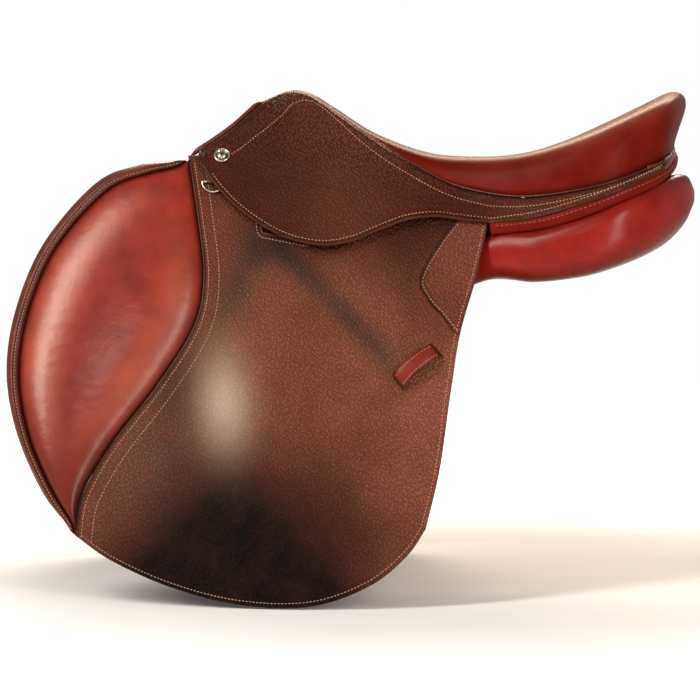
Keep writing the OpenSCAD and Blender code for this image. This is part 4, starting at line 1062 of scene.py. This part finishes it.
# %% Seat halves
def eased(grid, times, crest, reach):
    """Rows of points with their bends softened: each inner point moves towards its neighbours' middle.

    The point at the column crest is then put back, and its neighbours follow by their share in reach.
    """
    top = grid[:, crest].copy()
    for _ in range(times):
        grid[:, 3:-1] += 0.25 * (grid[:, 2:-2] - 2 * grid[:, 3:-1] + grid[:, 4:])
    return grid + (top - grid[:, crest])[:, None] * reach[..., None]


def both_halves(grid):
    """A left half grid, seam to middle, carried on to the right by its mirror image."""
    return np.concatenate([grid, (grid * FLIP)[:, -2::-1]], 1)


def there_and_back(path):
    """A left path, front to rear, carried on to the right and forwards again."""
    return np.vstack([path, (path * FLIP)[-2::-1]])


print("a path of 3 points there and back has", len(there_and_back(np.zeros((3, 3)))), "points")

# %% Seat cushion
COVER_T, FOAM_EDGE, FOAM_CROWN = 2.5, 6.2, 17
CREST = 25  # the column of points along the top of the roll
a = np.r_[np.linspace(0, 1, CREST + 1), np.linspace(1, 2, 22)[1:]]
uu, aa = np.meshgrid(np.linspace(0, 1, 190), a, indexing="ij")
foam = ramp(uu, 0.29, 0.02) * (FOAM_EDGE + FOAM_CROWN * np.minimum(aa, 1) * np.minimum(uu / 0.55, 1))
seat_outer = both_halves(eased(seat_spot(uu, aa, 0 * uu), 40, CREST, hill(aa, 1, 0.42)))
seat_inner = both_halves(seat_spot(uu, aa, COVER_T + foam))
# Painted highlight: the crest of the roll is painted pale tan, and the paleness runs on over the dish as wear.
crest_highlight_and_wear = np.where(aa < 1.12, hill(aa, 1.12, 0.33), 1 - 0.35 * (aa - 1.12))
# The side wall is darker in its middle, below the crest: painted shade. It is darker along the seam too.
seat_half = {"warm": 0.8 * crest_highlight_and_wear * ramp(uu, 0.15, 0.3),
             "smudge": 0.9 * hill(aa, 0, 0.07) + 0.45 * hill(aa, 0.45, 0.3) * hill(uu, 0.45, 0.3),
             "rub": 0.5 * hill(aa, 1.4, 0.5)}
seat_where = {k: np.concatenate([w, w[:, -2::-1]], 1) for k, w in seat_half.items()}
obj = shell("seat_cushion", seat_outer, seat_inner, "saddle", SEAT_CALF, marks=seat_where,
            zipped=True)
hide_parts("seat_cover", "seat_foam")
seam_line = there_and_back(to_middle(SEAT_EDGE, np.linspace(0.03, 1, 260)) * FLIP + [0, 0, 0.2])
tube("seat_seam_piping", round_path(seam_line, 0.9, 0.9, 8), "saddle", BINDING)
print("seat points:", seat_outer.shape[0] * seat_outer.shape[1])

# %% [markdown]
# ## Pommel facing and rear welt
#
# A flat roll of calf closes the front of the pommel. A rounded welt, sewn with coarse thread, closes the
# gap between the cantle strip and the panels. Bevelled curves could draw both, but the facing has to keep
# its flat side to the front all the way round the arch, so its rings are set to one fixed direction.

# %% Pommel facing
FACING_AHEAD = np.array([-0.68, 0, 0.73])
FACING_T, FACING_W = 2.6, 4.5  # half its thickness and half its width
FACING_FOOT_POINT, FACING_CROWN = [[-252, -59, 116]], [[-181.5, -26, 171], [-177, -15, 174], [-172.5, 0, 175.8]]
facing_left = curve(SKIRT_TOP, np.linspace(0, pommel_u, 13)) * FLIP + [-1.9, 0, 2.1]
facing_half = np.vstack([FACING_FOOT_POINT, facing_left, FACING_CROWN])
facing_path = rounded(even(there_and_back(curve(facing_half, np.linspace(0, 1, 110))), 1.0), 6)
deep = np.cross(along_path(facing_path), FACING_AHEAD)
turn = np.arange(20) * math.pi / 10
far = np.arange(len(facing_path))
full = np.clip(0.25 + np.minimum(far, far[::-1]) / 16, 0, 1)[:, None, None]  # the ends taper
facing_rings = facing_path[:, None] + full * (
    FACING_T * np.sin(turn)[None, :, None] * FACING_AHEAD
    + FACING_W * (np.cos(turn) - 0.6)[None, :, None] * deep[:, None])
obj = tube("pommel_facing_leather", facing_rings, "saddle", BINDING)
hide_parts("pommel_facing")
print("facing rings:", len(facing_rings))

# %% Rear welt
WELT = [[38.5, 127.2, 48.9], [87, 144, 54.8], [127, 157, 67.4], [162, 155, 81.5], [190, 140, 93.6],
        [209, 112, 104.6], [220, 66, 114.4], [223, 0, 120.4]]
WELT_T, WELT_H = 3.0, 6.2  # half its thickness and half its height
welt_path = there_and_back(to_middle(WELT, np.linspace(0, 1, 150)) * FLIP)
rings = round_path(welt_path, WELT_T, WELT_H, 24)
obj = tube("rear_welt_leather", rings, "saddle", SEAT_CALF)
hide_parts("rear_welt")
stitches("rear_welt_stitch", rings[3:-3, 1], (rings[:, 1] - welt_path)[3:-3], "saddle", DARK_THREAD,
         pitch=4.6, length=3.4, thick=0.6)
print("welt length:", round(float(np.linalg.norm(np.diff(welt_path, axis=0), axis=1).sum())), "mm")

# %% [markdown]
# ## Head lining, cantle strip and rear facing
#
# Thin leather closes the saddle where the tree would show: a lining from the facing down to the arch
# of the head, a strip between cantle and welt, and a facing between the welt and the panels. Cloth could
# be hung there, but on the real saddle each piece is drawn tight between two sewn lines. So a grid
# of the blend between the lines gives it, bent over a third line at the head.

# %% Head lining
HEAD_OUTER = [[-209, -57, 79], [-209, -48, 105], [-209, -34, 127], [-209, -18, 141], [-209, 0, 145]]
HEAD_INNER = [[-203, -44, 70], [-203, -36, 90], [-203, -24, 108], [-203, -12, 122], [-203, 0, 127]]
LINING_POINTS = 140
rim = even(facing_path[14:-14] + [2.0, 0, -2.0], count=LINING_POINTS)
knee, lip = (even(there_and_back(curve(arch, U)), count=LINING_POINTS) for arch in (HEAD_OUTER, HEAD_INNER))
v = np.linspace(0, 1, 26)[:, None, None]
lining = (1 - v) ** 2 * rim + 2 * v * (1 - v) * knee + v**2 * lip
shell("head_lining", lining + [1.6, 0, -0.4], lining, "saddle", BINDING)
tube("head_lining_edge", round_path(lip, 1.8, 1.8), "saddle", BINDING)
print("head lining:", lining.shape[0] * lining.shape[1], "points")

# %% Cantle strip and rear facing
CANTLE_STRIP = [[186, 142, 103.5], [203, 127, 109], [211, 105, 114.5], [219, 62, 122], [221.5, 0, 127]]
FACING_FOOT = [[198, 110, 95], [197, 66, 96], [192, 0, 96.5]]
strip_path = there_and_back(to_middle(CANTLE_STRIP, np.linspace(0, 1, 110)) * FLIP)
tube("cantle_strip_leather", round_path(strip_path, 2.0, 4.6, 16), "saddle", BINDING)
u = np.linspace(0, 1, 70)
under_welt = np.array(WELT[5:]) - [4, 0, 1]
top, foot = (there_and_back(to_middle(line, u) * FLIP) for line in (under_welt, FACING_FOOT))
curtain = top + (foot - top) * np.linspace(0, 1, 14)[:, None, None]
shell("rear_facing_leather", curtain + [1.5, 0, 0], curtain, "saddle", PANEL_CALF, True)
middle = len(u) - 1
print("rear facing height:", round(float(top[middle, 2] - foot[middle, 2]), 1), "mm")

# %% [markdown]
# ## Panels
#
# Two long cushions stuffed with wool carry the saddle on the horse's back, with a channel between them
# for the spine. Inflated cloth would give two round sausages; a real panel is flatter, with a squared
# edge. So each section is a squared oval between an inner and an outer line, a little crowned below, and
# fullest under the cantle.

# %% Panels
# x, inner half width and height, outer half width and height, thickness
PANEL = [[-240, 64, 14, 92, -52, 18], [-200, 50, 22, 110, -92, 28], [-130, 50, 26, 123, -92, 32],
         [-50, 52, 24, 117, -52, 34.6], [0, 54, 24, 97, 0, 38], [40, 56, 26, 107, 23, 45.5],
         [80, 60, 30, 125, 24, 51.5], [125, 63, 36, 133, 34, 61], [160, 65, 47, 131, 47, 66],
         [190, 64, 59, 117, 59, 66], [212, 61, 69, 95, 69, 61], [229.5, 56, 76, 77, 78, 42],
         [238.5, 55, 79, 67, 80, 12]]
SQUARED, CROWN = 0.7, 2.5  # power that squares the half rounds; rise of the lower flat in mm
NOSE = 8


def panel_rings(s):
    """Closed sections: two squared half rounds about the outer and inner line, joined by flats."""
    r = s[:, 5:6, None] / 2
    i, o = np.stack([-s[:, 1], s[:, 2]], -1)[:, None], np.stack([-s[:, 3], s[:, 4]], -1)[:, None]
    e = (o - i) / np.linalg.norm(o - i, axis=-1, keepdims=True)
    n = np.stack([e[..., 1], -e[..., 0]], -1)
    a = np.linspace(-math.pi / 2, math.pi / 2, 22)
    c, w = (np.sign(f) * np.abs(f) ** SQUARED for f in (np.cos(a), np.sin(a)))
    c, w = c[None, :, None], w[None, :, None]
    outer_half, inner_half = o + r * (c * e + w * n), i + r * (-c * e - w * n)
    f = np.linspace(0, 1, 10)[1:-1][None, :, None]
    over = outer_half[:, -1:] + (inner_half[:, :1] - outer_half[:, -1:]) * f
    below = inner_half[:, -1:] + (outer_half[:, :1] - inner_half[:, -1:]) * f - CROWN * np.sin(math.pi * f) * n
    ring = np.concatenate([outer_half, over, inner_half, below], 1)
    return np.concatenate([np.broadcast_to(s[:, 0, None, None], ring.shape[:2] + (1,)), ring], -1)


turn = np.linspace(1.4, 0, 8)[:-1, None]
nose = np.array([PANEL[0]]) * (1 - [0, 0, 0, 0, 0, 1] * (1 - np.cos(turn))) - [NOSE, 0, 0, 0, 0, 0] * np.sin(turn)
sections = np.vstack([nose, curve(PANEL, np.linspace(0, 1, 170))])
rings = panel_rings(sections)
# Painted shade: each section darkens towards its top and bottom, away from the height of its outer line.
off = np.abs(rings[..., 2] - sections[:, 4:5]) / (sections[:, 5:6] / 2)
panel_where = {"smudge": np.r_[0.8 * ramp(off.ravel(), 0.25, 0.8) ** 1.5, 0.5, 0.5]}
for hand, right in SIDES:
    obj = tube("panel_cushion_" + hand, rings, "saddle", PANEL_CALF, right, panel_where)
    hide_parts("panel_" + hand)
print("panel ring points:", rings.shape[1])

# %% Channel
CHANNEL_HALF, CHANNEL_T = 50, 2
x = np.linspace(-170, 190, 90)
s = curve_at_x(PANEL, x)
z = s[:, 2] + s[:, 5] * 0.56 + 0.4  # just above the panels' inner edges
y = np.linspace(-CHANNEL_HALF, CHANNEL_HALF, 30)
grid = np.stack(np.broadcast_arrays(x[:, None], y[None, :], z[:, None]), -1)
obj = shell("channel_lining", grid + [0, 0, CHANNEL_T], grid, "saddle", CALF)
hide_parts("panel_channel")
print("channel lining:", grid.shape[0] * grid.shape[1], "points")

# %% [markdown]
# ## Under the flaps
#
# Between flap and panel lie three pieces that show when a flap is lifted: the sweat flap, which keeps the
# horse's sweat from the rest, a thin guard over the girth buckles, and the thigh block. The first two
# are plain sheets, cut and laid as the patch was. The block is a hard wedge covered in calf, so a rounded
# hill between two lines is enough.

# %% Sweat flap and guard
SWEAT_FRONT = [[-238, 62], [-275, 95], [-325, 150], [-330, 240], [-285, 320]]
SWEAT_REAR = [[-8, 50], [-4, 105], [-10, 170], [-28, 240], [-70, 300]]
SWEAT_OUT, SWEAT_IN = -14, -17
q, sweat_outer, sweat_inner = cut_sheet(lambda v: curve(SWEAT_FRONT, v), lambda v: curve(SWEAT_REAR, v),
                                        (80, 260, 1.0), (90, 270, 1.0), SWEAT_OUT, SWEAT_IN)
sweat_rim = np.vstack([curve(SWEAT_FRONT, U), q[-1][1:-1:4], curve(SWEAT_REAR, U)[::-1]])
sweat_row = inset(even(sweat_rim, 2.0), 4.0)[4:-4]
GUARD = np.array([[-150, 62], [-6, 56], [-14, 172], [-146, 176.0]])  # its corners, front top first
GUARD_OUT, GUARD_IN = -0.5, -2.3
guard_lines = [lambda v: GUARD[0] + (GUARD[3] - GUARD[0]) * v[:, None],
               lambda v: GUARD[1] + (GUARD[2] - GUARD[1]) * v[:, None]]
_, guard_outer, guard_inner = cut_sheet(*guard_lines, (40, 115, 0.6), (44, 135, 0.6), GUARD_OUT, GUARD_IN)
print("sweat flap cells:", sweat_outer.shape[0] * sweat_outer.shape[1])

# %% Thigh block
BLOCK_FRONT, BLOCK_REAR = [[-8, 90], [-12, 125], [-16, 160]], [[6, 82], [1, 125], [-4, 168]]
BLOCK_OUT, BLOCK_IN, BLOCK_RISE = -4.7, -13.7, 8
v, u = grown(60), grown(24)
vv, uu = np.meshgrid(v, u, indexing="ij")
q = ruled(curve(BLOCK_FRONT, v), curve(BLOCK_REAR, v), u)
rise = np.sin(math.pi * uu) ** 0.5 * np.sin(math.pi * vv) ** 0.4
block_outer = side(q[..., 0], q[..., 1], BLOCK_OUT - BLOCK_RISE * (1 - rise))
block_inner = side(q[..., 0], q[..., 1], BLOCK_IN)
for hand, right in SIDES:
    obj = shell("sweat_flap_leather_" + hand, sweat_outer, sweat_inner, "saddle", STRAP, right,
                edge=EDGE)
    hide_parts("sweat_flap_" + hand)
    on_line("sweat_flap_stitch_" + hand, sweat_row, SWEAT_OUT + STITCH_LIFT, "saddle", right)
    obj = shell("strap_guard_leather_" + hand, guard_outer, guard_inner, "saddle", STRAP, right)
    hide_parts("billet_guard_" + hand)
    obj = shell("thigh_block_leather_" + hand, block_outer, block_inner, "saddle", CALF, right)
    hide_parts("thigh_block_" + hand)
print("block stands", BLOCK_OUT - BLOCK_IN, "mm high")

# %% [markdown]
# ## Saddle nails
#
# A saddle nail is a washer under a domed head with a dark dimple, turned on a lathe and plated. Blender's
# Screw modifier turns a profile as a lathe does, but a grid of radius and angle is as short and stands on
# the skirt by its own axis. Groove and dimple are dark rings, because dirt gathers there.

# %% Saddle nails
NAIL = [[8.2, 0], [8.2, 0.8], [7.9, 1.4], [7.3, 1.75], [6.6, 1.7], [5.9, 1.2], [5.4, 0.7], [4.8, 0.7], [4.6, 1.2],
        [4.4, 2.0], [3.8, 2.6], [2.8, 3.0], [1.2, 3.2]]  # radius and height
NAIL_GROOVE = [[5.5, 0.75], [5.3, 1.05], [4.9, 1.05], [4.7, 0.75]]
NAIL_DIMPLE = [[1.9, 3.05], [1.6, 3.28], [0.4, 3.3]]
NAIL_AT = np.array([0.112]), np.array([0.7])  # along the skirt and down it


def turned(profile, foot, axis, around=40):
    """A profile of radius and height turned about an axis: rings of points from rim to tip."""
    axis = axis / np.linalg.norm(axis)
    a = np.cross([0.0, 0.0, 1.0], axis)
    a = a / np.linalg.norm(a)
    b = np.cross(axis, a)
    turn = np.arange(around) * 2 * math.pi / around
    ring = np.cos(turn)[:, None] * a - np.sin(turn)[:, None] * b
    r, h = np.asarray(profile, float).T
    return foot + r[:, None, None] * ring[None] + h[:, None, None] * axis


nail_out = skirt_out(*NAIL_AT)[0]
nail_out = nail_out / np.linalg.norm(nail_out)
nail_foot = skirt_spot(*NAIL_AT, np.array([SKIRT_T]))[0] + 0.3 * nail_out
nail_rings, groove_rings, dimple_rings = (turned(p, nail_foot, nail_out) for p in (NAIL, NAIL_GROOVE, NAIL_DIMPLE))
for hand, right in SIDES:
    obj = tube("saddle_nail_head_" + hand, nail_rings, "saddle", NICKEL, right)
    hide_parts("saddle_nail_" + hand)
    tube("saddle_nail_groove_" + hand, groove_rings, "saddle", EDGE, right)
    tube("saddle_nail_dimple_" + hand, dimple_rings, "saddle", EDGE, right)
print("nail stands", NAIL[-1][1], "mm proud")

# %% [markdown]
# ## Girth straps
#
# Girth straps are cut from the thickest hide, pointed, and punched with a row of holes for the buckles.
# Holes could be cut with booleans. But a flat curve with its holes as inner outlines, filled and given a
# rounded edge, is the short way to a punched plate; it becomes a mesh before it is laid along the side.

# %% Strap plates
def side_frame(x, d, t, lean_at):
    """Origin and axes of a flat piece laid along the side: across, up and outwards.

    toe is the turn about the upright and lean the tilt outwards, both from the side's slope at lean_at.
    """
    fall = SLOPE - 2 * ROUND * abs(lean_at)
    toe = math.atan(FLARE[1] + fall * FLARE[2])
    lean = math.atan(fall * math.cos(toe))
    across = np.array([math.cos(toe), -math.sin(toe), 0])
    up = np.array([math.sin(toe) * math.sin(lean), math.cos(toe) * math.sin(lean), math.cos(lean)])
    return side(x, d, t), np.array([across, up, np.cross(across, up)])


def plate_mesh(name, outlines, thick, edge):
    """A flat plate with holes, as a mesh: the first outline filled, less the others, with rounded edges."""
    flat = bpy.data.curves.new(name, "CURVE")
    flat.dimensions, flat.fill_mode = "2D", "BOTH"
    flat.extrude, flat.bevel_depth, flat.bevel_resolution = thick / 2 - edge, edge, 2
    flat.offset = -edge
    for outline in outlines:
        spline = flat.splines.new("POLY")
        spline.points.add(len(outline) - 1)
        spline.points.foreach_set("co", np.c_[outline, np.zeros(len(outline)), np.ones(len(outline))].ravel())
        spline.use_cyclic_u = True
    holder = bpy.data.objects.new(name, flat)
    mesh = bpy.data.meshes.new_from_object(holder)
    work = bmesh.new()
    work.from_mesh(mesh)
    bmesh.ops.remove_doubles(work, verts=work.verts, dist=1e-3)
    bmesh.ops.recalc_face_normals(work, faces=work.faces)
    work.to_mesh(mesh)
    work.free()
    bpy.data.objects.remove(holder)
    bpy.data.curves.remove(flat)
    return mesh


def circle(x, y, r, points=20):
    """A round outline: cosine and sine of equal steps of angle."""
    a = np.arange(points) * 2 * math.pi / points
    return np.c_[x + r * np.cos(a), y + r * np.sin(a)]


print("a hole is drawn with", len(circle(0, 0, 1.0)), "points")

# %% Girth straps
BILLET_W, BILLET_T, BILLET_L, BILLET_TOP, BILLET_POINT, BILLET_TIP = 27, 4.0, 245, 18, 16, 4
BILLET_X = {"front": -101, "rear": -43}
BILLET_D, BILLET_OUT, BILLET_LEAN_AT, BILLET_EDGE, ROW_IN = 75, -4, 190, 0.6, 3.2
PIN_R, HOLE_R, HOLE_FIRST, HOLE_PITCH, HOLES = 3.05, 2.75, 32, 25, 7
near_half = np.array([[BILLET_TIP, -BILLET_L], [BILLET_W / 2, BILLET_POINT - BILLET_L], [BILLET_W / 2, BILLET_TOP]])
strap_outline = np.vstack([near_half[::-1] * [-1, 1], near_half])
strap_holes = [circle(0, 0, PIN_R)]
strap_holes += [circle(0, -BILLET_L + HOLE_FIRST + HOLE_PITCH * k, HOLE_R) for k in range(HOLES)]
run = np.linspace(BILLET_TOP - 3, BILLET_POINT - BILLET_L + 4, 120)
for hand, right in SIDES:
    for place, x in BILLET_X.items():
        at, axes = side_frame(x, BILLET_D, BILLET_OUT, BILLET_LEAN_AT)
        mesh = plate_mesh(f"girth_strap_{place}_{hand}", [strap_outline] + strap_holes, BILLET_T, BILLET_EDGE)
        co = np.empty(len(mesh.vertices) * 3)
        mesh.vertices.foreach_get("co", co)
        co = at + (co.reshape(-1, 3) - [0, 0, BILLET_T / 2]) @ axes
        if right:
            co = co * FLIP
            mesh.flip_normals()
        mesh.vertices.foreach_set("co", (co / MM).ravel())
        mesh.update()
        body = f"billet_{place}_{hand}_body"
        obj = put(mesh.name, mesh, body, [STRAP])
        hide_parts(f"billet_{place}_{hand}")
        for row, off in (("a", -BILLET_W / 2 + ROW_IN), ("b", BILLET_W / 2 - ROW_IN)):
            path = at + np.c_[off + 0 * run, run, STITCH_LIFT + 0 * run] @ axes
            outward = np.tile(axes[2], (len(run), 1))
            stitches(f"girth_strap_stitch_{row}_{place}_{hand}", path, outward, body, THREAD, right)
print("straps:", len(strap_holes), "holes each")

# %% [markdown]
# ## Webs and chapes
#
# Jute webs carry the seat and the girth straps, and a folded leather chape holds each dee. They are flat
# and mostly hidden, and the CAD form is already right. Drawing them anew would gain nothing, so a copy
# of each CAD mesh gets a Bevel modifier, since no woven or cut edge is truly sharp.

# %% Webs and chapes
WEB_EDGE, CHAPE_EDGE = 0.5, 0.3


def softened_copy(name, node, body, material, soft):
    """A web or chape: the CAD node's own form, with its edges rounded by soft mm."""
    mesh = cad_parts[node].data.copy()
    work = bmesh.new()
    work.from_mesh(mesh)
    bmesh.ops.remove_doubles(work, verts=work.verts, dist=1e-6)
    bmesh.ops.dissolve_limit(work, angle_limit=0.02, verts=work.verts, edges=work.edges)
    work.to_mesh(mesh)
    work.free()
    obj = put(name, mesh, body, [material])
    edges = obj.modifiers.new("rounded_edges", "BEVEL")
    edges.width, edges.segments, edges.limit_method = soft / MM, 2, "ANGLE"
    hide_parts(node)


for way in ("long", "cross"):
    softened_copy("seat_webbing_" + way, "seat_web_" + way, "saddle", WEBBING, WEB_EDGE)
for hand, right in SIDES:
    softened_copy("girth_webbing_" + hand, "girth_web_" + hand, "saddle", WEBBING, WEB_EDGE)
    softened_copy("dee_chape_leather_" + hand, "dee_chape_" + hand, f"dee_{hand}_body", STRAP,
                  CHAPE_EDGE)
print("webs and chapes: 6")

# %% [markdown]
# ## What stays from the CAD frame
#
# Tree, plates, rivets, springs, stirrup bars, catches and dees are machined or forged, and the CAD frame
# has their right shape already. They could be copied too, but they only need a better material.

# %% Materials on the CAD nodes
KEPT = {"tree_head": WOOD, "tree_cantle": WOOD, "tree_rail": WOOD, "head_plate": STEEL, "gullet_plate": STEEL,
        "tree_rivets": STEEL, "tree_spring": STEEL, "stirrup_bar": STEEL, "bar_catch": STEEL, "dee_ring": NICKEL,
        "dee_rivet": NICKEL}
dressed = 0
for name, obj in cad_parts.items():
    found = [m for key, m in KEPT.items() if name.startswith(key)]
    if found:
        obj.data.materials.clear()
        obj.data.materials.append(found[0])
        dressed += 1
print("CAD nodes dressed:", dressed)

# %% [markdown]
# ## Floor and surroundings
#
# The photograph is cut out on white. A bare white background would leave the saddle hanging in the air,
# so it stands over a sheet of pale paper that keeps its shadow and fades to white further off. The
# world is white to the camera, but darker to the leather, which would otherwise mirror it.

# %% Floor
FLOOR_HALF, FLOOR_Z = 3.0, -0.3  # metres
floor_corners = [(FLOOR_HALF * x, FLOOR_HALF * y, FLOOR_Z) for x, y in ((-1, -1), (1, -1), (1, 1), (-1, 1))]
floor_mesh = bpy.data.meshes.new("studio_floor")
floor_mesh.from_pydata(floor_corners, [], [(0, 1, 2, 3)])
# Matt studio paper. To the eye: an even pale ground that keeps the shadow and fades into the background.
paper, tree, shader = new_material("studio_paper", "#f4f2ee")
place = add(tree, "TexCoord", out="Object")
soft = add(tree, "TexNoise", {"Vector": place, "Scale": 6.0, "Detail": 2.0})
tone = add(tree, "Mix", {0: add(tree, "MapRange", [soft, 0.3, 0.7, 0.0, 1.0]), FROM: "#ecedf0", TO: "#f4f5f8"},
           MIXED, **COLOUR)
far = add(tree, "VectorMath", [place], "Value", operation="LENGTH")
faded = add(tree, "MapRange", [far, 0.4, 1.1, 0.0, 1.0], interpolation_type="SMOOTHSTEP")
fade = add(tree, "Math", [faded, add(tree, "LightPath", out="Is Camera Ray")], **MULTIPLY)
fill(tree, shader, {"Base Color": tone, "Roughness": 0.9, "Emission Color": "#ffffff", "Emission Strength": fade})
floor_mesh.materials.append(paper)
floor = bpy.data.objects.new("studio_floor", floor_mesh)
scene.collection.objects.link(floor)
print("floor:", 2 * FLOOR_HALF, "m square")

# %% Surroundings
WORLD_LIGHT, WORLD_MIRRORED = 0.28, 0.12
world = bpy.data.worlds.new("studio")
world.use_nodes = True
sky = world.node_tree
rays = ("Is Camera Ray", "Is Glossy Ray", "Is Transmission Ray")
looks, mirrors, passes = (add(sky, "LightPath", out=ray) for ray in rays)
mirrored = add(sky, "MapRange", [mirrors, 0.0, 1.0, 0.0, WORLD_MIRRORED])
seen = add(sky, "Math", [looks, mirrored], operation="MAXIMUM")
seen = add(sky, "Math", [seen, passes], operation="MAXIMUM")
strength = add(sky, "MapRange", [seen, 0.0, 1.0, WORLD_LIGHT, 1.0])
fill(sky, sky.nodes["Background"], {"Color": "#ffffff", "Strength": strength})
scene.world = world
print("white surroundings made")
